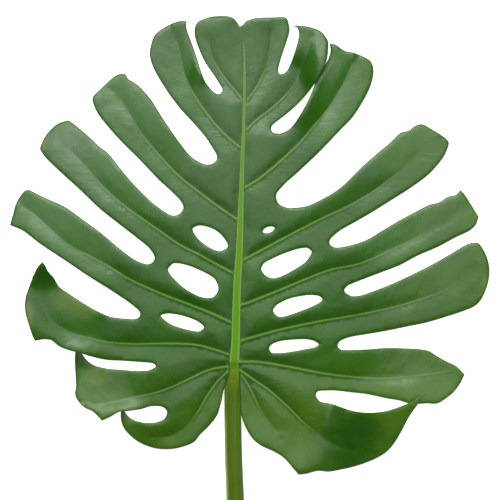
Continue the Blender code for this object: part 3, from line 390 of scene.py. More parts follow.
@dataclass
class NodeKit:
    """Adds shader nodes to a material and joins them.

    Attributes:
        material: The material whose node tree is built.
        shader: Its Principled shader.
    """

    material: bpy.types.Material
    shader: bpy.types.Node

    def add(self, kind: str, links: dict | None = None, **settings) -> bpy.types.Node:
        """Add one node with its settings and incoming links.

        Args:
            kind: Node type name.
            links: Input name or index to an output socket, or to a plain value.
            **settings: Node attributes.

        Returns:
            The new node.
        """
        node = self.material.node_tree.nodes.new(kind)
        for name, value in settings.items():
            setattr(node, name, value)
        for key, value in (links or {}).items():
            socket = node.inputs[key]
            if isinstance(value, bpy.types.NodeSocket):
                self.material.node_tree.links.new(value, socket)
            else:
                socket.default_value = value
        return node

    def mix(self, share, first, second):
        """Mix two colours by a share and return the colour socket."""
        return self.add("ShaderNodeMix", {0: share, 6: first, 7: second}, data_type="RGBA").outputs[2]

    def tint(self, colour, share, tone: Tone):
        """Lay a share of a tone over a colour."""
        return self.mix(share, colour, linear(tone))

    def math(self, operation: str, first, second=0.0):
        """One arithmetic step; returns its output socket."""
        return self.add("ShaderNodeMath", {0: first, 1: second}, operation=operation).outputs[0]

    def times(self, first, second):
        """Product of two values."""
        return self.math("MULTIPLY", first, second)

    def spread(self, value, low: float, high: float, out_low: float = 0.0, out_high: float = 1.0):
        """Map a value smoothly from one range to another, clamped."""
        return self.add("ShaderNodeMapRange", {0: value, 1: low, 2: high, 3: out_low, 4: out_high},
                        interpolation_type="SMOOTHSTEP").outputs[0]

    def noise(self, scale: float, detail: float = 3.0, vector=None):
        """Noise in object space; scale is in features a metre."""
        place = vector or self.add("ShaderNodeTexCoord").outputs["Object"]
        return self.add("ShaderNodeTexNoise", {"Vector": place, "Scale": scale, "Detail": detail,
                                               "Roughness": 0.55}).outputs[0]

    def attribute(self, name: str):
        """A float attribute of the mesh."""
        return self.add("ShaderNodeAttribute", attribute_name=name).outputs["Fac"]

    def join(self, socket, name: str) -> None:
        """Feed a socket to one of the shader's inputs."""
        self.material.node_tree.links.new(socket, self.shader.inputs[name])

    def finish(self, colour, height, strength: float, distance: float) -> bpy.types.Material:
        """Join the colour and the relief to the shader.

        Args:
            colour: Socket of the base colour.
            height: Socket of the relief, from 0 to 1.
            strength: How strongly the relief shows.
            distance: Height of the relief in metres.

        Returns:
            The finished material.
        """
        self.join(colour, "Base Color")
        bump = self.add("ShaderNodeBump",
                        {"Height": height, "Strength": strength, "Distance": distance})
        self.join(bump.outputs[0], "Normal")
        return self.material


def new_material(name: str, roughness: float, specular: float) -> NodeKit:
    """Start a material from a clean Principled shader.

    Args:
        name: Material name, which says what it is.
        roughness: Surface roughness, 0 to 1.
        specular: Specular level, 0.5 for most plants.

    Returns:
        Its node kit.
    """
    material = bpy.data.materials.new(name)
    material.use_nodes = True
    shader = material.node_tree.nodes["Principled BSDF"]
    shader.inputs["Roughness"].default_value = roughness
    shader.inputs["Specular IOR Level"].default_value = specular
    return NodeKit(material, shader)


@dataclass(frozen=True)
class UpperSkin:
    """Waxy dark green upper skin of the blade, with paler veins, painted sheen and shade beside them
    and painted shade where it turns from the light.

    Attributes:
        roughness: Mean roughness of the waxy skin.
        unevenness: How far the roughness strays from its mean.
    """

    roughness: float = 0.33
    unevenness: float = 0.07

    def build(self) -> bpy.types.Material:
        """Return the finished material."""
        kit = new_material("leaf_upper_skin", self.roughness, 0.46)
        fine = kit.noise(420.0, 4.0)
        stripe = self.minor_veins(kit)
        height = kit.math("ADD", kit.times(stripe, 0.12), kit.times(fine, 0.15))
        height = kit.math("ADD", height, kit.times(self.streaks(kit), 0.7))
        rough = kit.spread(kit.noise(70.0, 2.0), 0.3, 0.7, self.roughness - self.unevenness,
                           self.roughness + self.unevenness)
        kit.join(rough, "Roughness")
        return kit.finish(self.marks(kit, self.ground(kit, fine, stripe)), height, 0.3, 0.001)

    @staticmethod
    def ground(kit: NodeKit, fine, stripe):
        """The green of the skin: broad patches, painted sheen below the side veins, painted shade above
        them and beside the midrib, fine grain and minor veins.

        Args:
            kit: The node kit to build with.
            fine: Socket of the fine grain.
            stripe: Socket of the minor veins.

        Returns:
            Colour socket.
        """
        painted_sheen_and_shade = kit.attribute("painted_sheen_and_shade")
        broad = kit.spread(kit.noise(16.0, 2.0), 0.35, 0.65, 0.25, 0.75)
        warm_patches = kit.spread(kit.noise(24.0, 3.0), 0.3, 0.65, 0.3, 1.0)
        green = kit.mix(broad, linear(Tone.DEEP_GREEN), linear(Tone.MID_GREEN))
        green = kit.tint(green, kit.times(kit.attribute("warm"), warm_patches), Tone.WARM_GREEN)
        # Painted sheen on the lower side of each side vein, painted shade on its upper side and beside
        # the midrib
        green = kit.tint(green, kit.spread(painted_sheen_and_shade, 0.0, 1.0, 0.0, 0.1), Tone.PALE_GREEN)
        green = kit.tint(green, kit.spread(painted_sheen_and_shade, 0.0, -1.0, 0.0, 0.9), Tone.DEEP_GREEN)
        green = kit.tint(green, kit.spread(fine, 0.3, 0.7, 0.0, 0.18), Tone.PALE_GREEN)
        return kit.tint(green, kit.times(stripe, 0.06), Tone.PALE_GREEN)

    @staticmethod
    def marks(kit: NodeKit, green):
        """Yellow places, painted shade where the sheet turns from the light or lies under a fold, the
        margin, scars along it, painted shade in the grooves, and the side veins.

        Args:
            kit: The node kit to build with.
            green: Colour socket of the skin.

        Returns:
            Colour socket.
        """
        margin = kit.attribute("margin")
        uneven = kit.spread(kit.noise(60.0, 3.0), 0.3, 0.6, 0.5, 1.0)
        scar = kit.times(kit.spread(kit.noise(45.0, 4.0), 0.62, 0.72), kit.spread(margin, 4.0, 0.5))
        green = kit.tint(green, kit.times(kit.attribute("yellow"), uneven), Tone.MARGIN_YELLOW)
        # Painted shade: darker green where the sheet turns from the light or lies under a fold
        green = kit.tint(green, kit.times(kit.attribute("dark"), uneven), Tone.SHADED_GREEN)
        green = kit.tint(green, kit.spread(margin, 0.9, 0.2, 0.0, 0.55), Tone.MARGIN_BROWN)
        green = kit.tint(green, kit.times(scar, 0.35), Tone.SCAR_BROWN)
        # Painted shade: a dark line in the groove beside each side vein, strongest on its lower side
        green = kit.tint(green, kit.times(kit.attribute("groove"), 0.9), Tone.DEEP_GREEN)
        return kit.tint(green, kit.times(kit.attribute("vein"), 0.95), Tone.VEIN_GREEN)

    @staticmethod
    def streaks(kit: NodeKit):
        """Uneven low relief, drawn out along the minor veins.

        Args:
            kit: The node kit to build with.

        Returns:
            Value socket.
        """
        place = kit.add("ShaderNodeCombineXYZ", {0: kit.times(kit.attribute("slant"), 0.001),
                                                 1: kit.times(kit.attribute("margin"), 0.0003)})
        drawn = kit.noise(190.0, 2.0, vector=place.outputs[0])
        return kit.math("ADD", kit.times(drawn, 0.6), kit.noise(130.0, 2.0))

    @staticmethod
    def minor_veins(kit: NodeKit):
        """Faint veins that leave each side vein at a slant.

        Args:
            kit: The node kit to build with.

        Returns:
            Socket that is 1 on a minor vein and 0 between them.
        """
        phase = kit.math("ADD", kit.attribute("slant"), kit.times(kit.noise(55.0, 3.0), 9.0))
        wave = kit.math("SINE", kit.times(phase, 2 * math.pi / MINOR_VEIN_SPACING))
        return kit.times(kit.spread(wave, 0.6, 1.0), kit.attribute("slant_fade"))


@dataclass(frozen=True)
class UnderSkin:
    """Paler, duller underside of the blade, lighter on its ribs.

    Attributes:
        roughness: Roughness of the matt skin.
    """

    roughness: float = 0.58

    def build(self) -> bpy.types.Material:
        """Return the finished material."""
        kit = new_material("leaf_underside", self.roughness, 0.4)
        mottle = kit.spread(kit.noise(140.0, 4.0), 0.3, 0.7, 0.0, 0.4)
        green = kit.mix(mottle, linear(Tone.UNDERSIDE), linear(Tone.PALE_GREEN))
        green = kit.tint(green, kit.attribute("rib_show"), Tone.UNDERSIDE_RIB)
        return kit.finish(green, kit.noise(900.0, 3.0), 0.25, 0.0004)


@dataclass(frozen=True)
class StalkSkin:
    """Yellow-green skin of the stalk and midrib, brown at the knee and pale at the cut, with a darker
    middle band and painted shade along the stalk's right edge.

    Attributes:
        roughness: Roughness of the smooth skin.
    """

    roughness: float = 0.5

    def build(self) -> bpy.types.Material:
        """Return the finished material."""
        kit = new_material("stalk_skin", self.roughness, 0.14)
        drawn_out = kit.add("ShaderNodeMapping", {
            "Vector": kit.add("ShaderNodeTexCoord").outputs["Object"], "Scale": (1.0, 0.06, 1.0)})
        streak = kit.noise(420.0, 3.0, vector=drawn_out.outputs[0])
        along = kit.spread(kit.attribute("along"), 40.0, 240.0)
        midrib = kit.mix(along, linear(Tone.MIDRIB_GREEN), linear(Tone.MIDRIB_TIP))
        midrib = kit.tint(midrib, kit.attribute("edge"), Tone.MIDRIB_EDGE)
        # Darker middle band of the stalk, and painted shade along its right edge
        stalk = kit.mix(kit.attribute("dark_band_and_shade"), linear(Tone.STALK_GREEN), linear(Tone.STALK_SHADE))
        stalk = kit.tint(stalk, kit.spread(streak, 0.35, 0.75, 0.0, 0.12), Tone.STALK_LIGHT)
        green = kit.mix(kit.attribute("greener"), stalk, midrib)
        blotch = kit.spread(kit.noise(260.0, 3.0), 0.35, 0.6, 0.35, 1.0)
        green = kit.tint(green, kit.times(kit.attribute("knee"), blotch), Tone.KNEE_BROWN)
        green = kit.tint(green, kit.attribute("left_light"), Tone.STALK_LIGHT)
        strands = kit.spread(kit.noise(900.0, 2.0), 0.55, 0.7, 0.0, 0.7)
        pith = kit.mix(strands, linear(Tone.CUT_PITH), linear(Tone.STALK_LIGHT))
        green = kit.mix(kit.attribute("cut"), green, pith)
        height = kit.math("ADD", kit.times(streak, 0.8), kit.times(kit.noise(1500.0, 2.0), 0.3))
        return kit.finish(green, height, 0.3, 0.0004)


class Plan:
    """Flat geometry: curves, distances and tests in millimetres, seen from above."""

    @staticmethod
    def to_mm(point) -> tuple[float, float]:
        """Turn a place on the view into millimetres in the leaf's frame."""
        return ((point[0] - ORIGIN_PX[0]) * PX_TO_MM, (ORIGIN_PX[1] - point[1]) * PX_TO_MM)

    @staticmethod
    def smooth_curve(points, step: float, closed: bool = False, sharp=()) -> np.ndarray:
        """Points no more than a step apart on a smooth curve through the given points.

        Args:
            points: Places in px that the curve passes through.
            step: Longest distance between two points, in millimetres.
            closed: Whether the curve joins its own start, which isn't repeated.
            sharp: Places where the curve turns sharply.

        Returns:
            The curve's points in millimetres.
        """
        knots = [np.array(Plan.to_mm(p)) for p in points]
        count = len(knots)
        out = []
        for i in range(count if closed else count - 1):
            p1, p2 = knots[i], knots[(i + 1) % count]
            p0, p3 = knots[(i - 1) % count], knots[(i + 2) % count]
            span = np.linalg.norm(p2 - p1)
            p0 = p1 + (p0 - p1) * min(1.0, span / max(1e-6, np.linalg.norm(p0 - p1)))
            p3 = p2 + (p3 - p2) * min(1.0, span / max(1e-6, np.linalg.norm(p3 - p2)))
            if tuple(points[i]) in sharp or (not closed and i == 0):
                p0 = 2 * p1 - p2
            if tuple(points[(i + 1) % count]) in sharp or (not closed and i == count - 2):
                p3 = 2 * p2 - p1
            pieces = max(1, math.ceil(span / step))
            for k in range(pieces):
                t = k / pieces
                out.append(0.5 * (2 * p1 + (p2 - p0) * t + (2 * p0 - 5 * p1 + 4 * p2 - p3) * t * t
                                  + (3 * p1 - p0 - 3 * p2 + p3) * t ** 3))
        if not closed:
            out.append(knots[-1])
        return np.array(out)

    @staticmethod
    def value_on_curve(table, x):
        """Smooth value at x through the (x, value) pairs of a table."""
        xs = np.array([row[0] for row in table], float)
        ys = np.array([row[1] for row in table], float)
        if xs[0] > xs[-1]:
            xs, ys = xs[::-1], ys[::-1]
        slopes = np.gradient(ys, xs)
        x = np.clip(x, xs[0], xs[-1])
        i = np.clip(np.searchsorted(xs, x) - 1, 0, len(xs) - 2)
        width = xs[i + 1] - xs[i]
        t = (x - xs[i]) / width
        return ((2 * t ** 3 - 3 * t ** 2 + 1) * ys[i] + (t ** 3 - 2 * t ** 2 + t) * width * slopes[i]
                + (3 * t ** 2 - 2 * t ** 3) * ys[i + 1] + (t ** 3 - t ** 2) * width * slopes[i + 1])

    @staticmethod
    def midrib_x(y):
        """Centre of the midrib at a height y in millimetres."""
        return Plan.value_on_curve([Plan.to_mm(p)[::-1] for p in MIDRIB_PX], y)

    @staticmethod
    def midrib_half_width(y):
        """Half the midrib's width on the upper face at y."""
        table = [((ORIGIN_PX[1] - y_px) * PX_TO_MM, width * PX_TO_MM / 2)
                 for y_px, width in MIDRIB_WIDTH_PX]
        return Plan.value_on_curve(table, y)

    @staticmethod
    def nearest_on_lines(points: np.ndarray, starts: np.ndarray, ends: np.ndarray):
        """Nearest segment to each point.

        Args:
            points: Points to measure from.
            starts: Start of each segment.
            ends: End of each segment.

        Returns:
            For each point the distance, the segment's index, how far along it, and the side: above 0
            to the left of the segment's direction.
        """
        best = np.full(len(points), 1e9)
        index = np.zeros(len(points), int)
        share = np.zeros(len(points))
        side = np.zeros(len(points))
        along = ends - starts
        length2 = np.maximum((along ** 2).sum(axis=1), 1e-12)
        for i, (a, d, l2) in enumerate(zip(starts, along, length2)):
            away = points - a
            t = np.clip((away @ d) / l2, 0.0, 1.0)
            gap = away - t[:, None] * d
            distance = np.hypot(gap[:, 0], gap[:, 1])
            closer = distance < best
            best[closer] = distance[closer]
            index[closer] = i
            share[closer] = t[closer]
            side[closer] = np.sign(d[0] * away[closer, 1] - d[1] * away[closer, 0])
        return best, index, share, side

    @staticmethod
    def distance(points: np.ndarray, starts: np.ndarray, ends: np.ndarray) -> np.ndarray:
        """Distance of each point to the nearest segment."""
        return Plan.nearest_on_lines(points, starts, ends)[0]

    @staticmethod
    def inside(points: np.ndarray, loop: np.ndarray) -> np.ndarray:
        """Whether each point lies inside a closed loop."""
        result = np.zeros(len(points), bool)
        x, y = points[:, 0], points[:, 1]
        for (x1, y1), (x2, y2) in zip(loop, np.roll(loop, -1, axis=0)):
            if y1 != y2:
                crosses = (y1 > y) != (y2 > y)
                result ^= crosses & (x < (x2 - x1) * (y - y1) / (y2 - y1) + x1)
        return result


@dataclass
class Vein:
    """One side vein.

    Attributes:
        lobe: Name of the lobe it runs into.
        weight: Its width at the midrib against the widest vein.
        line: Its centre line in millimetres.
    """

    lobe: str
    weight: float
    line: np.ndarray

    @property
    def run(self) -> np.ndarray:
        """Distance along the vein at each of its points."""
        steps = np.linalg.norm(np.diff(self.line, axis=0), axis=1)
        return np.concatenate([[0.0], np.cumsum(steps)])

    def width(self, share):
        """Full width of the raised line at a share of the vein's length."""
        return VEIN_WIDTH * self.weight * (1.0 - 0.72 * share) * (1.0 - 0.5 * share ** 4)

    def guides(self) -> np.ndarray:
        """Rows of points along the line and beside it, that the mesh follows."""
        ahead = np.gradient(self.line, axis=0)
        ahead = ahead / np.linalg.norm(ahead, axis=1)[:, None]
        across = np.column_stack([-ahead[:, 1], ahead[:, 0]])
        half = (self.width(self.run / self.run[-1]) / 2)[:, None]
        rows = [self.line]
        for sign in (-1, 1):
            rows.append(self.line + across * sign * half)
            rows.append(self.line + across * sign * (half + INSET))
        return np.vstack(rows)


@dataclass
class Region:
    """One flat stretch of the blade that is meshed at a time.

    Attributes:
        name: Its lobe, or "main".
        loop: Points of its outline with their kind: "margin", "slot" or "seam".
        holes: Closed curves cut out of it.
    """

    name: str
    loop: list
    holes: list = field(default_factory=list)

    def margins(self) -> tuple[np.ndarray, np.ndarray]:
        """Segments of the true margin: no slot and no seam."""
        pairs = [(p, q) for (p, kind), (q, after) in zip(self.loop, self.loop[1:] + self.loop[:1])
                 if kind == after == "margin"]
        starts = [np.array([p for p, _ in pairs])] + self.holes
        ends = [np.array([q for _, q in pairs])] + [np.roll(hole, -1, axis=0) for hole in self.holes]
        return np.vstack(starts), np.vstack(ends)

    def fill(self, guides: np.ndarray) -> tuple[np.ndarray, np.ndarray]:
        """Triangulate the region evenly, following the guide points.

        Args:
            guides: Points that the mesh passes through.

        Returns:
            Flat vertices and triangles.
        """
        outer = np.array([p for p, _ in self.loop])
        rims = [outer] + self.holes
        starts = np.vstack(rims)
        ends = np.vstack([np.roll(rim, -1, axis=0) for rim in rims])
        placed = np.vstack([self.clear(self.inset(rims), outer, starts, ends, 0.55),
                            self.clear(guides, outer, starts, ends, 1.0)])
        low, high = outer.min(axis=0), outer.max(axis=0)
        rows = int((high[1] - low[1]) / (CELL * 0.866)) + 1
        columns = int((high[0] - low[0]) / CELL) + 2
        c, r = np.meshgrid(np.arange(columns), np.arange(rows))
        grid = np.column_stack([(low[0] + (c + 0.5 * (r % 2)) * CELL).ravel(),
                                (low[1] + r * CELL * 0.866).ravel()])
        grid = self.clear(grid, outer, starts, ends, CELL * 0.75)
        grid = grid[self.far_from(grid, placed, CELL * 0.6)]
        everything = np.vstack(rims + [placed, grid])
        edges, base = [], 0
        for rim in rims:
            edges += [(base + i, base + (i + 1) % len(rim)) for i in range(len(rim))]
            base += len(rim)
        result = delaunay_2d_cdt([Vector(p) for p in everything], edges, [], 0, 1e-6)
        flat = np.array([tuple(v) for v in result[0]])
        faces = np.array(result[2])
        centres = flat[faces].mean(axis=1)
        keep = Plan.inside(centres, outer)
        for hole in self.holes:
            keep &= ~Plan.inside(centres, hole)
        first = flat[faces[:, 1]] - flat[faces[:, 0]]
        second = flat[faces[:, 2]] - flat[faces[:, 0]]
        keep &= np.abs(first[:, 0] * second[:, 1] - first[:, 1] * second[:, 0]) > 1e-4
        return flat, faces[keep]

    def clear(self, points, outer, starts, ends, room: float) -> np.ndarray:
        """Those of the points that lie in the region with room to its rims."""
        points = points[Plan.inside(points, outer)]
        for hole in self.holes:
            points = points[~Plan.inside(points, hole)]
        return points[Plan.distance(points, starts, ends) > room]

    @staticmethod
    def inset(rims) -> np.ndarray:
        """Points a little way in from every rim, on both sides of it."""
        rows = []
        for rim in rims:
            ahead = np.roll(rim, -1, axis=0) - np.roll(rim, 1, axis=0)
            ahead = ahead / np.maximum(np.linalg.norm(ahead, axis=1), 1e-9)[:, None]
            across = np.column_stack([-ahead[:, 1], ahead[:, 0]])
            rows += [rim + across * INSET, rim - across * INSET]
        return np.vstack(rows)

    @staticmethod
    def far_from(points: np.ndarray, others: np.ndarray, room: float) -> np.ndarray:
        """Whether each point is further than room from all the others."""
        cells = {}
        for p in others:
            cells.setdefault((int(p[0] // room), int(p[1] // room)), []).append(p)
        result = np.ones(len(points), bool)
        for i, (x, y) in enumerate(points):
            cx, cy = int(x // room), int(y // room)
            for near in ((cx + a, cy + b) for a in (-1, 0, 1) for b in (-1, 0, 1)):
                if any((x - q[0]) ** 2 + (y - q[1]) ** 2 < room * room for q in cells.get(near, ())):
                    result[i] = False
                    break
        return result


@dataclass(frozen=True)
class Spot:
    """Where a set of flat points lies against the blade's margin, midrib and side veins.

    Attributes:
        flat: The points in millimetres.
        margin: Distance to the true margin.
        rib_gap: Distance to the midrib's edge.
        owner: Number of the nearest side vein.
        side_gap: Distance to that vein.
        run: Distance along it.
        above: Over 0 on its upper side.
        part: Share of its length.
        width: Its width there.
        lobes: Lobe that each point lies in, empty on the body of the leaf.
    """

    flat: np.ndarray
    margin: np.ndarray
    rib_gap: np.ndarray
    owner: np.ndarray
    side_gap: np.ndarray
    run: np.ndarray
    above: np.ndarray
    part: np.ndarray
    width: np.ndarray
    lobes: np.ndarray

    def groove(self) -> np.ndarray:
        """How deep each point lies in the groove beside the side vein, 0 to 1."""
        return np.exp(-((self.side_gap - self.width * 0.5 - GROOVE_OFFSET) / GROOVE_WIDTH) ** 2)


class Sheet:
    """The blade's form: its regions, and the height of its upper face over each flat point."""

    def __init__(self) -> None:
        """Work out the side veins and the outline."""
        self.veins = [Vein(name, weight, Plan.smooth_curve(points, 1.8))
                      for name, (weight, points) in VEINS_PX.items()]
        rib_y = np.linspace(-4.0, 285.0, 80)
        self.rib = np.column_stack([Plan.midrib_x(rib_y), rib_y])

    def outline(self) -> list:
        """The whole outline, counter-clockwise, with the slot that the midrib fills."""
        names = list(OUTLINE_PX)
        middle = names.index("R8")
        left = [p for name in names[:middle] for p in OUTLINE_PX[name]]
        right = [p for name in names[middle:] for p in OUTLINE_PX[name]] + OUTLINE_PX["notch"]
        heights = np.linspace(2.0, Plan.to_mm(MIDRIB_PX[-1])[1] - 1.0, 110)
        half = np.maximum(Plan.midrib_half_width(heights) - SLOT_OVERLAP, 0.15)
        up = [(np.array(p), "slot") for p in zip(Plan.midrib_x(heights) - half, heights)]
        down = [(np.array(p), "slot") for p in zip(Plan.midrib_x(heights) + half, heights)][::-1]
        left = [(p, "margin") for p in Plan.smooth_curve(left, EDGE_STEP, sharp=SHARP_PX)]
        right = [(p, "margin") for p in Plan.smooth_curve(right, EDGE_STEP, sharp=SHARP_PX)]
        return left + up + down + right[:-1]

    def regions(self) -> list[Region]:
        """The main sheet, then each lobe that is meshed on its own."""
        outline = self.outline()
        lobes, spans = [], {}
        for name, ends in SEAM_LOBES.items():
            first, last = (int(np.argmin([np.hypot(*(p - Plan.to_mm(end))) for p, _ in outline]))
                           for end in ends)
            seam = self.seam(ends)
            lobes.append(Region(name, outline[first:last + 1] + [(p, "seam") for p in seam[::-1]]))
            spans[first] = (last, seam)
        main, i = [], 0
        while i < len(outline):
            main.append(outline[i])
            if i in spans:
                i, seam = spans[i]
                main += [(p, "seam") for p in seam]
            else:
                i += 1
        holes = [Plan.smooth_curve(points, EDGE_STEP * 0.7, closed=True)
                 for points in HOLES_PX.values()]
        return [Region("main", main, holes)] + lobes

    @staticmethod
    def seam(ends) -> list:
        """Points across a lobe's base, both ends left out."""
        a, b = (np.array(Plan.to_mm(end)) for end in ends)
        pieces = max(2, round(3 * np.linalg.norm(b - a) / CELL))
        return [a + (b - a) * k / pieces for k in range(1, pieces)]

    @staticmethod
    def lobe_of(points: np.ndarray, region: str) -> np.ndarray:
        """Name of the lobe that each point lies in, empty on the body of the leaf."""
        if region != "main":
            return np.full(len(points), region, dtype="<U4")
        names = np.full(len(points), "", dtype="<U4")
        for lobe in LOBE_POSE:
            if lobe in SEAM_LOBES:
                continue
            loop = Plan.smooth_curve(OUTLINE_PX[lobe], EDGE_STEP, sharp=SHARP_PX)
            on_margin = Plan.distance(points, loop[:-1], loop[1:]) < 0.3
            names[Plan.inside(points, loop) | on_margin] = lobe
        return names

    @staticmethod
    def lobe_weights(points: np.ndarray, lobe: str, lobes: np.ndarray):
        """How far out along its lobe each point is, 0 at its base and 1 at its tip, and its side."""
        edge = np.array([Plan.to_mm(p) for p in OUTLINE_PX[lobe]])
        vein = np.array([Plan.to_mm(p) for p in VEINS_PX[lobe][1]])
        ends = SEAM_LOBES.get(lobe, (OUTLINE_PX[lobe][0], OUTLINE_PX[lobe][-1]))
        start, end = (np.array([Plan.to_mm(p)]) for p in ends)
        base = (start[0] + end[0]) / 2
        axis = vein[-1] - base
        axis = axis / np.linalg.norm(axis)
        part = np.clip((points - base) @ axis / ((edge - base) @ axis).max(), 0.0, 1.0)
        from_base = np.clip(Plan.distance(points, start, end) / LOBE_BASE_REACH, 0.0, 1.0)
        part = part * ease(from_base)
        side = (points - base) @ np.array([-axis[1], axis[0]])
        mine = lobes == lobe
        return np.where(mine, part, 0.0), np.where(mine, side, 0.0)

    def vein_fields(self, flat: np.ndarray) -> dict[str, np.ndarray]:
        """Where each point lies against every side vein, one row a vein.

        Args:
            flat: Flat points in millimetres.

        Returns:
            "gap" to the vein, "run" along it, and "above": over 0 on its upper side.
        """
        rows = {"gap": [], "run": [], "above": []}
        for vein in self.veins:
            gap, index, share, side = Plan.nearest_on_lines(flat, vein.line[:-1], vein.line[1:])
            run = vein.run[index] + share * (vein.run[index + 1] - vein.run[index])
            rows["gap"].append(gap)
            rows["run"].append(run)
            rows["above"].append(side * (-1.0 if vein.line[-1][0] < vein.line[0][0] else 1.0))
        return {name: np.array(values) for name, values in rows.items()}

    def valley_depth(self, flat: np.ndarray, lobes: np.ndarray, fields: dict) -> np.ndarray:
        """Depth of the valley at each point, against CREST_HEIGHT.

        Args:
            flat: Flat points in millimetres.
            lobes: Lobe of each point.
            fields: What vein_fields gives.

        Returns:
            A factor for each point.
        """
        near = np.argsort(fields["gap"], axis=0)[:2]
        first, second = np.take_along_axis(fields["gap"], near, axis=0)
        above = np.take_along_axis(fields["above"], near, axis=0)[0] * first
        between = ease(np.clip(2 * first / (first + second + 1e-6), 0, 1))
        upper, lower, middle = VALLEY_BASE
        own = lower + (upper - lower) * np.clip(above / 3 + 0.5, 0, 1)
        base = own + (middle - own) * between
        result = base.copy()
        for i, vein in enumerate(self.veins):
            mine = lobes == vein.lobe
            if vein.lobe in VALLEY and mine.any():
                out, _ = self.lobe_weights(flat[mine], vein.lobe, lobes[mine])
                above = fields["above"][i][mine] * fields["gap"][i][mine]
                near_base = np.clip(1 - 3.3 * out, 0, 1)
                sides = [np.interp(out, (0.35, 0.85), (half, tip)) for half, tip in VALLEY[vein.lobe]]
                further = sides[1] + (sides[0] - sides[1]) * np.clip(above / 3 + 0.5, 0, 1)
                result[mine] = further + (base[mine] - further) * near_base
        return result

    @staticmethod
    def tints(x: np.ndarray, y: np.ndarray, lobes: np.ndarray) -> np.ndarray:
        """How much darker (above 0), as painted shade, or yellower (below 0) the green is at each
        point.
        """
        result = np.zeros(len(x))
        for lobe, px, py, rx, ry, turn, amount in TINTS_PX.values():
            cx, cy = Plan.to_mm((px, py))
            c, s = math.cos(math.radians(turn)), math.sin(math.radians(turn))
            along = ((x - cx) * c + (y - cy) * s) / (rx * PX_TO_MM)
            across = ((y - cy) * c - (x - cx) * s) / (ry * PX_TO_MM)
            share = amount * np.exp(-(along ** 2 + across ** 2) ** 3)
            result = result + np.where((lobes == lobe) | (lobe == ""), share, 0.0)
        return result

    @staticmethod
    def waves(x: np.ndarray, y: np.ndarray) -> np.ndarray:
        """Slight uneven swell of the whole sheet, in millimetres."""
        slow = np.sin(x / 15 + 1.7 * np.sin(y / 29)) * np.cos(y / 17 + 1.3 * np.sin(x / 23 + 0.6))
        quick = np.sin(x / 4.9 + 1.9 * np.sin(y / 11 + 2)) * np.cos(y / 5.7 + 1.6 * np.sin(x / 9))
        return SLOW_WAVE * slow + QUICK_WAVE * quick

    def measure(self, flat: np.ndarray, region: Region) -> dict[str, np.ndarray]:
        """All that the mesh and the colours need to know at each flat point.

        Args:
            flat: Flat points in millimetres.
            region: The region that they fill.

        Returns:
            Named arrays, one value a point; "z" is the height of the upper face.
        """
        fields = self.vein_fields(flat)
        owner = fields["gap"].argmin(axis=0)
        side_gap, run, above = (fields[name][owner, np.arange(len(flat))]
                                for name in ("gap", "run", "above"))
        part = run / np.array([vein.run[-1] for vein in self.veins])[owner]
        width = np.zeros(len(flat))
        for i, vein in enumerate(self.veins):
            mine = owner == i
            width[mine] = vein.width(part[mine])
        rib_gap = Plan.distance(flat, self.rib[:-1], self.rib[1:])
        rib_gap = np.maximum(rib_gap - Plan.midrib_half_width(flat[:, 1]), 0.0)
        spot = Spot(flat, Plan.distance(flat, *region.margins()), rib_gap, owner, side_gap, run, above,
                    part, width, self.lobe_of(flat, region.name))
        z = self.height(spot, self.valley_depth(flat, spot.lobes, fields))
        rib = np.exp(-(side_gap / 2.2) ** 2) * np.clip(spot.margin / 12, 0, 1)
        rib = rib * np.clip((rib_gap - 1) / 6, 0, 1)
        room = np.clip((z - BLADE_THICKNESS - 0.4) / (RIB_THICKNESS - BLADE_THICKNESS), 0.0, 1.0)
        return {"z": z, "thick": np.minimum(rib, room), **self.colour_values(spot)}

    def height(self, spot: Spot, depth: np.ndarray) -> np.ndarray:
        """Height of the blade's upper face at each point.

        Args:
            spot: Where the points lie.
            depth: What valley_depth gives.

        Returns:
            Heights in millimetres.
        """
        x, y = spot.flat[:, 0], spot.flat[:, 1]
        off_axis = np.abs(x - Plan.midrib_x(y))
        z = Plan.value_on_curve(MIDRIB_HEIGHT, y) - SIDE_DROOP * (off_axis / SIDE_REACH) ** 1.5
        vein_gap = np.minimum(spot.side_gap, spot.rib_gap)
        crest = 1 - np.exp(-vein_gap / (CREST_REACH * np.maximum(depth, 1.0)))
        crest = crest * (1 - 0.15 * np.exp(-spot.margin / MARGIN_REACH))
        z = z + CREST_HEIGHT * crest * depth
        z = z + self.waves(x, y) * np.clip(vein_gap / 8, 0.15, 1)
        phase = spot.run - 0.8 * spot.side_gap + 2.5 * np.sin(spot.run / 13 + spot.owner)
        quilt = np.sin(phase * 2 * math.pi / MINOR_VEIN_SPACING)
        z = z + QUILT_HEIGHT * quilt * np.exp(-spot.side_gap / 14) * np.clip(spot.side_gap / 4, 0, 1)
        z = z - MARGIN_ROLL * np.exp(-(spot.margin / MARGIN_REACH) ** 2) * np.clip(off_axis / 12, 0, 1)
        for lobe, (lift, twist) in LOBE_POSE.items():
            out, across = self.lobe_weights(spot.flat, lobe, spot.lobes)
            z = z + ease(out) * (lift + twist * np.clip(across / TWIST_REACH, -1.4, 1.4))
        for lobe, px, py, rx, ry, rise in SWELLS_PX.values():
            cx, cy = Plan.to_mm((px, py))
            out = self.lobe_weights(spot.flat, lobe, spot.lobes)[0] if lobe else np.ones(len(x))
            far = ((x - cx) / (rx * PX_TO_MM)) ** 2 + ((y - cy) / (ry * PX_TO_MM)) ** 2
            z = z + rise * np.exp(-far) * ease(np.clip(out * 2.5, 0, 1))
        spare = z - LOWEST_TOP
        z = LOWEST_TOP + 0.5 * (spare + np.sqrt(spare ** 2 + 1.2))
        spare = TALLEST_TOP - z
        z = TALLEST_TOP - 0.5 * (spare + np.sqrt(spare ** 2 + 0.8))
        ridge = np.exp(-(spot.side_gap / (spot.width * 0.55 + 0.05)) ** 2)
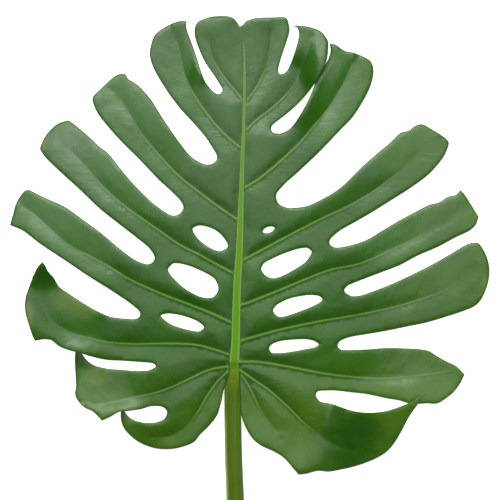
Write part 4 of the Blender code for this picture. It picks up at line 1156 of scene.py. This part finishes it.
        z = z + VEIN_HEIGHT * ridge * (spot.width / VEIN_WIDTH) * np.clip(spot.margin / 3, 0, 1)
        trough = spot.groove() * np.where(spot.above < 0, 0.3, 0.1)
        z = z - trough * np.clip(1.2 - 1.5 * spot.part, 0, 1)
        return z - 0.35 * np.clip(1 - spot.margin / 0.8, 0, 1) ** 2

    def colour_values(self, spot: Spot) -> dict[str, np.ndarray]:
        """What the skins' colours read at each point.

        Args:
            spot: Where the points lie.

        Returns:
            One array for each of the blade's attributes.
        """
        x, y = spot.flat[:, 0], spot.flat[:, 1]
        part, side_gap = spot.part, spot.side_gap
        shows = np.array([VEIN_SHOWS.get(vein.lobe, 1.0) for vein in self.veins])[spot.owner]
        fade = np.clip(1.15 - 0.75 * part, 0, 1) * np.clip((shows + 0.08 - part) / 0.16, 0, 1)
        # Painted sheen and shade: below 0 darker on a vein's upper side and beside the midrib, above 0
        # paler on its lower side
        painted_sheen_and_shade = -spot.above * np.exp(-(side_gap / 10.0) ** 2) * np.clip(side_gap / 1.2, 0, 1)
        painted_sheen_and_shade = painted_sheen_and_shade * np.clip(1.15 - 1.6 * part, 0, 1)
        tint = self.tints(x, y, spot.lobes)
        return {
            "vein": np.clip(1.3 - 1.1 * side_gap / (spot.width * 0.5 + 0.08), 0, 1) * fade,
            "margin": np.minimum(spot.margin, 12.0),
            "painted_sheen_and_shade": painted_sheen_and_shade - 0.7 * np.exp(-(spot.rib_gap / 5.0) ** 2) * np.clip((230 - y) / 120, 0, 1),
            "yellow": np.maximum(-tint, 0),
            # Painted shade: the darker share of the tints
            "dark": np.maximum(tint, 0),
            "slant": spot.run - 0.9 * side_gap,
            "slant_fade": np.clip(side_gap / 3, 0, 1) * np.exp(-side_gap / 16.0),
            # Painted shade in the groove beside the side vein, stronger on its lower side
            "groove": spot.groove() * np.where(spot.above < 0, 1.0, 0.6) * fade,
            "warm": np.clip((25 - y) / 60, 0, 1) + 0.7 * np.clip((x - 90) / 80, 0, 1),
            "rib_show": np.exp(-(side_gap / 1.6) ** 2),
        }


class Blade:
    """The blade of the leaf, in place of its plain CAD solid."""

    SHOWN = ("vein", "margin", "painted_sheen_and_shade", "yellow", "dark", "slant", "slant_fade", "groove", "warm",
             "rib_show")

    def __init__(self, sheet: Sheet) -> None:
        """Keep the form to mesh.

        Args:
            sheet: The blade's form.
        """
        self.sheet = sheet

    def build(self) -> bpy.types.Object:
        """Mesh, thicken and colour the blade.

        Returns:
            The finished object.
        """
        flat, faces, values = self.mesh_regions()
        mesh = bpy.data.meshes.new("blade_skin")
        points = np.column_stack([flat, values["z"]]) / 1000.0
        mesh.from_pydata([tuple(p) for p in points], [], [tuple(int(i) for i in f) for f in faces])
        for name in self.SHOWN:
            layer = mesh.attributes.new(name, "FLOAT", "POINT")
            layer.data.foreach_set("value", values[name].astype(np.float32))
        self.face_up(mesh)
        mesh.shade_smooth()
        blade = bpy.data.objects.new("leaf_blade", mesh)
        bpy.context.scene.collection.objects.link(blade)
        mesh.materials.append(UpperSkin().build())
        mesh.materials.append(UnderSkin().build())
        group = blade.vertex_groups.new(name="rib")
        for share in np.unique(np.round(values["thick"], 2)):
            members = np.nonzero(np.round(values["thick"], 2) == share)[0]
            group.add(members.tolist(), float(share), "REPLACE")
        solid = blade.modifiers.new("thickness", "SOLIDIFY")
        solid.thickness = RIB_THICKNESS / 1000
        solid.offset = -1.0
        solid.vertex_group = "rib"
        solid.thickness_vertex_group = BLADE_THICKNESS / RIB_THICKNESS
        solid.material_offset = Side.UNDER.value
        solid.material_offset_rim = Side.UPPER.value
        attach(blade, "root")
        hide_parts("blade")
        LOG.info("blade: %d faces on its upper side", len(faces))
        return blade

    @staticmethod
    def face_up(mesh: bpy.types.Mesh) -> None:
        """Turn every face's normal up."""
        sheet = bmesh.new()
        sheet.from_mesh(mesh)
        sheet.normal_update()
        bmesh.ops.reverse_faces(sheet, faces=[face for face in sheet.faces if face.normal.z < 0])
        sheet.to_mesh(mesh)
        sheet.free()

    def mesh_regions(self):
        """Mesh each region and join them along their seams.

        Returns:
            Flat vertices, triangles, and the sheet's measures at each vertex.
        """
        guides = np.vstack([vein.guides() for vein in self.sheet.veins])
        all_flat, all_faces, all_values = [], [], []
        main_seams, total = [], 0
        for region in self.sheet.regions():
            flat, triangles = region.fill(guides)
            values = self.sheet.measure(flat, region)
            places = np.arange(len(flat)) + total
            if region.name == "main":
                main_seams = [(tuple(p), i) for i, p in enumerate(flat) if self.on_a_seam(p)]
            else:
                ends = [np.array(Plan.to_mm(end)) for end in SEAM_LOBES[region.name]]
                gaps = Plan.distance(flat, ends[0][None], ends[1][None])
                for i in np.nonzero(gaps < SNAP)[0]:
                    near = [j for q, j in main_seams if np.hypot(*(np.array(q) - flat[i])) < SNAP]
                    if near:
                        places[i] = near[0]
            all_flat.append(flat)
            all_values.append(values)
            all_faces.append(places[triangles])
            total += len(flat)
        flat = np.vstack(all_flat)
        faces = np.vstack(all_faces)
        values = {name: np.concatenate([v[name] for v in all_values]) for name in all_values[0]}
        used = np.unique(faces)
        fresh = np.full(len(flat), -1)
        fresh[used] = np.arange(len(used))
        return flat[used], fresh[faces], {name: value[used] for name, value in values.items()}

    @staticmethod
    def on_a_seam(point: np.ndarray) -> bool:
        """Whether a flat point lies on one of the seams."""
        for ends in SEAM_LOBES.values():
            a, b = (np.array([Plan.to_mm(end)]) for end in ends)
            if Plan.distance(np.array([point]), a, b)[0] < SNAP:
                return True
        return False


class Stalk:
    """The stalk, knee and midrib: one body in place of its plain CAD solid."""

    COUNT = 40

    def build(self) -> bpy.types.Object:
        """Loft the body through its rings and colour it.

        Returns:
            The finished object.
        """
        body = bmesh.new()
        layers = {name: body.verts.layers.float.new(name)
                  for name in ("along", "greener", "knee", "left_light", "dark_band_and_shade", "edge", "cut")}
        rings = []
        for x, y, half, rib in self.stations():
            ring = []
            for side, z in self.section(y, half, rib):
                vertex = body.verts.new(((x + side) / 1000, y / 1000, z / 1000))
                for name, value in self.colours(side / max(half, 0.1), y).items():
                    vertex[layers[name]] = value
                ring.append(vertex)
            rings.append(ring)
        for lower, upper in zip(rings, rings[1:]):
            for i in range(len(lower)):
                j = (i + 1) % len(lower)
                body.faces.new((lower[i], lower[j], upper[j], upper[i]))
        self.cap(body, rings[0], layers["cut"])
        body.faces.new(rings[-1])
        bmesh.ops.recalc_face_normals(body, faces=body.faces)
        mesh = bpy.data.meshes.new("stalk_skin")
        body.to_mesh(mesh)
        body.free()
        mesh.shade_smooth()
        mesh.set_sharp_from_angle(angle=math.radians(55))
        mesh.materials.append(StalkSkin().build())
        stalk = bpy.data.objects.new("leaf_stalk", mesh)
        bpy.context.scene.collection.objects.link(stalk)
        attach(stalk, "root")
        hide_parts("stalk_midrib")
        LOG.info("stalk: %d faces", len(mesh.polygons))
        return stalk

    @staticmethod
    def cap(body: bmesh.types.BMesh, ring: list, cut_layer) -> None:
        """Close the cut end, with its pith a little way in from the skin."""
        face = body.faces.new(ring)
        for thickness in (0.0009, 0.0025):
            face.normal_update()
            bmesh.ops.inset_individual(body, faces=[face], thickness=thickness, depth=0.0)
            for vertex in face.verts:
                vertex[cut_layer] = 1.0

    @staticmethod
    def stations() -> list:
        """Where the rings stand: centre, half width, and how much of each is midrib."""
        table = [Plan.to_mm(p)[::-1] for p in STALK_PX]
        rows = []
        for y in np.concatenate([[-STALK_LENGTH, -STALK_LENGTH + 0.6], np.linspace(-256.0, -30.0, 60),
                                 np.linspace(-28.0, 3.0, 22)]):
            share = max(0.0, -y / STALK_LENGTH)
            half = (STALK_TOP_WIDTH + (STALK_CUT_WIDTH - STALK_TOP_WIDTH) * share) / 2
            half += (KNEE_WIDTH - STALK_TOP_WIDTH) / 2 * math.exp(-((y + 11.0) / 11.0) ** 2)
            if y == -STALK_LENGTH:
                half -= 0.3
            rows.append((float(Plan.value_on_curve(table, y)), float(y), half, 0.0))
        head = Plan.to_mm(MIDRIB_PX[-1])[1]
        blend = {4.5: 0.3, 6.0: 0.6, 7.5: 0.85}
        for y in np.concatenate([list(blend), [9.0, 11.0, 14.0], np.linspace(17.0, head, 90)]):
            x = float(Plan.value_on_curve(table, y)) if y < 9 else float(Plan.midrib_x(y))
            rows.append((x, float(y), float(Plan.midrib_half_width(y)), blend.get(float(y), 1.0)))
        return rows

    def section(self, y: float, half: float, rib: float) -> list:
        """Points round one ring, from the top and clockwise, as (side, height)."""
        if rib == 0.0:
            return self.round_section(half)
        surface = float(Plan.value_on_curve(MIDRIB_HEIGHT, y))
        keyed = self.rib_section(half, surface, min(surface - 2.4, 0.6 + 1.35 * half))
        if rib == 1.0:
            return keyed
        plain = self.round_section(STALK_TOP_WIDTH / 2)
        return [((1 - rib) * a + rib * c, (1 - rib) * b + rib * d)
                for (a, b), (c, d) in zip(plain, keyed)]

    def round_section(self, half: float) -> list:
        """Ring of the round stalk, with its flat underside on the surface it lies on."""
        low = math.sqrt(half ** 2 - (FLAT_SPOT_WIDTH / 2) ** 2)
        turn = math.atan2(FLAT_SPOT_WIDTH / 2, low)
        steps = self.COUNT // 2
        ring = []
        for k in range(steps + 1):
            angle = k / steps * (math.pi - turn)
            ring.append((half * math.sin(angle), low + half * math.cos(angle)))
        return ring + [(-side, up) for side, up in reversed(ring[1:])]

    def rib_section(self, half: float, surface: float, depth: float) -> list:
        """Ring of the midrib: a low crown level with the blade and a round rib under it."""
        under = -(BLADE_THICKNESS + 0.35)
        wide = half + min(1.3, 0.6 * half)
        crown_steps = self.COUNT // 4
        ring = []
        for k in range(crown_steps + 1):
            angle = k / crown_steps * math.pi / 2
            ring.append((half * math.sin(angle), 0.26 * half * math.cos(angle) ** 1.3 + 0.04))
        ring.append((half, under))
        rest = self.COUNT // 2 + 1 - len(ring)
        for k in range(rest):
            angle = k / (rest - 0.5) * math.pi / 2
            ring.append((wide * math.cos(angle), under - 0.12 - depth * math.sin(angle)))
        ring = [(side, surface + up) for side, up in ring]
        return ring + [(-side, up) for side, up in reversed(ring[1:])]

    @staticmethod
    def colours(side: float, y: float) -> dict[str, float]:
        """Values that the skin's colours read at a point.

        Args:
            side: Place across the body, -1 at its left edge and 1 at its right.
            y: Place along it in millimetres.

        Returns:
            One value for each attribute.
        """
        knee = math.exp(-((y + 4.5) / 7.0) ** 2) * max(0.0, min(1.0, 1.6 - 2.2 * abs(side + 0.15)))
        light = max(0.0, min(1.0, (-side - 0.7) / 0.15)) * min(1.0, max(0.0, (-y - 32.0) / 12.0))
        # Painted shade: the stalk's right edge darker, as its shaded side
        painted_shade_edge = max(0.0, min(1.0, (side - 0.74) / 0.1)) * min(1.0, max(0.0, (-y - 28.0) / 12.0))
        middle = max(0.0, 1 - ((side + 0.25) / 0.42) ** 2) * min(1.0, max(0.0, -y / 10.0))
        edge = max(0.0, min(1.0, (abs(side + 0.05) - 0.5) / 0.35)) * 0.9
        greener = ease(min(1.0, max(0.0, (y + 16.0) / 20.0)))
        return {"along": max(0.0, y), "greener": greener, "knee": 0.9 * knee,
                "left_light": 0.95 * light, "dark_band_and_shade": min(1.0, 0.7 * middle + painted_shade_edge),
                "edge": edge * min(1.0, max(0.0, (y + 6.0) / 8.0)), "cut": 0.0}


class Studio:
    """Pale floor, soft light from the top of the view, and a camera straight above."""

    def build(self) -> None:
        """Set up the floor, the lights, the world and the camera."""
        self.floor()
        for name, (place, size, power) in SOFTBOXES.items():
            self.light(name, place, size, power)
        world = bpy.data.worlds.new("studio_white")
        world.use_nodes = True
        world.node_tree.nodes["Background"].inputs[0].default_value = (1.0, 1.0, 1.0, 1.0)
        world.node_tree.nodes["Background"].inputs[1].default_value = WORLD_STRENGTH
        bpy.context.scene.world = world
        bpy.context.scene.view_settings.view_transform = "Standard"
        self.camera()

    @staticmethod
    def floor() -> None:
        """A plain white surface that the leaf lies on."""
        body = bmesh.new()
        bmesh.ops.create_grid(body, x_segments=1, y_segments=1, size=3.0)
        mesh = bpy.data.meshes.new("floor")
        body.to_mesh(mesh)
        body.free()
        kit = new_material("studio_floor", 0.9, 0.1)
        kit.shader.inputs["Base Color"].default_value = linear(Tone.FLOOR)
        kit.shader.inputs["Emission Color"].default_value = linear(Tone.FLOOR)
        kit.shader.inputs["Emission Strength"].default_value = FLOOR_GLOW
        mesh.materials.append(kit.material)
        floor = bpy.data.objects.new("studio_floor", mesh)
        bpy.context.scene.collection.objects.link(floor)

    @staticmethod
    def light(name: str, place, size, power: float) -> None:
        """Add one rectangular softbox aimed at the origin."""
        lamp = bpy.data.lights.new(name, "AREA")
        lamp.shape = "RECTANGLE"
        lamp.size, lamp.size_y = size
        lamp.energy = power
        thing = bpy.data.objects.new(name, lamp)
        thing.location = place
        thing.visible_camera = False
        thing.rotation_euler = (-Vector(place)).to_track_quat("-Z", "Y").to_euler()
        bpy.context.scene.collection.objects.link(thing)

    @staticmethod
    def camera() -> None:
        """A long lens straight above the middle of the view."""
        lens = bpy.data.cameras.new("camera")
        lens.lens = 120.0
        lens.sensor_width = 36.0
        lens.clip_end = 20.0
        width = 500 * PX_TO_MM / 1000
        camera = bpy.data.objects.new("camera", lens)
        x, y = Plan.to_mm((250, 250))
        camera.location = (x / 1000, y / 1000, width * lens.lens / lens.sensor_width + 0.012)
        bpy.context.scene.collection.objects.link(camera)
        bpy.context.scene.camera = camera


def write_sizes() -> None:
    """Bring the view layer up to date.
    """
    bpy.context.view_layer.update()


def main() -> None:
    """Build the leaf and its studio."""
    logging.basicConfig(level=logging.INFO, format="%(name)s: %(message)s")
    Blade(Sheet()).build()
    Stalk().build()
    Studio().build()
    write_sizes()


if __name__ == "__main__":
    main()
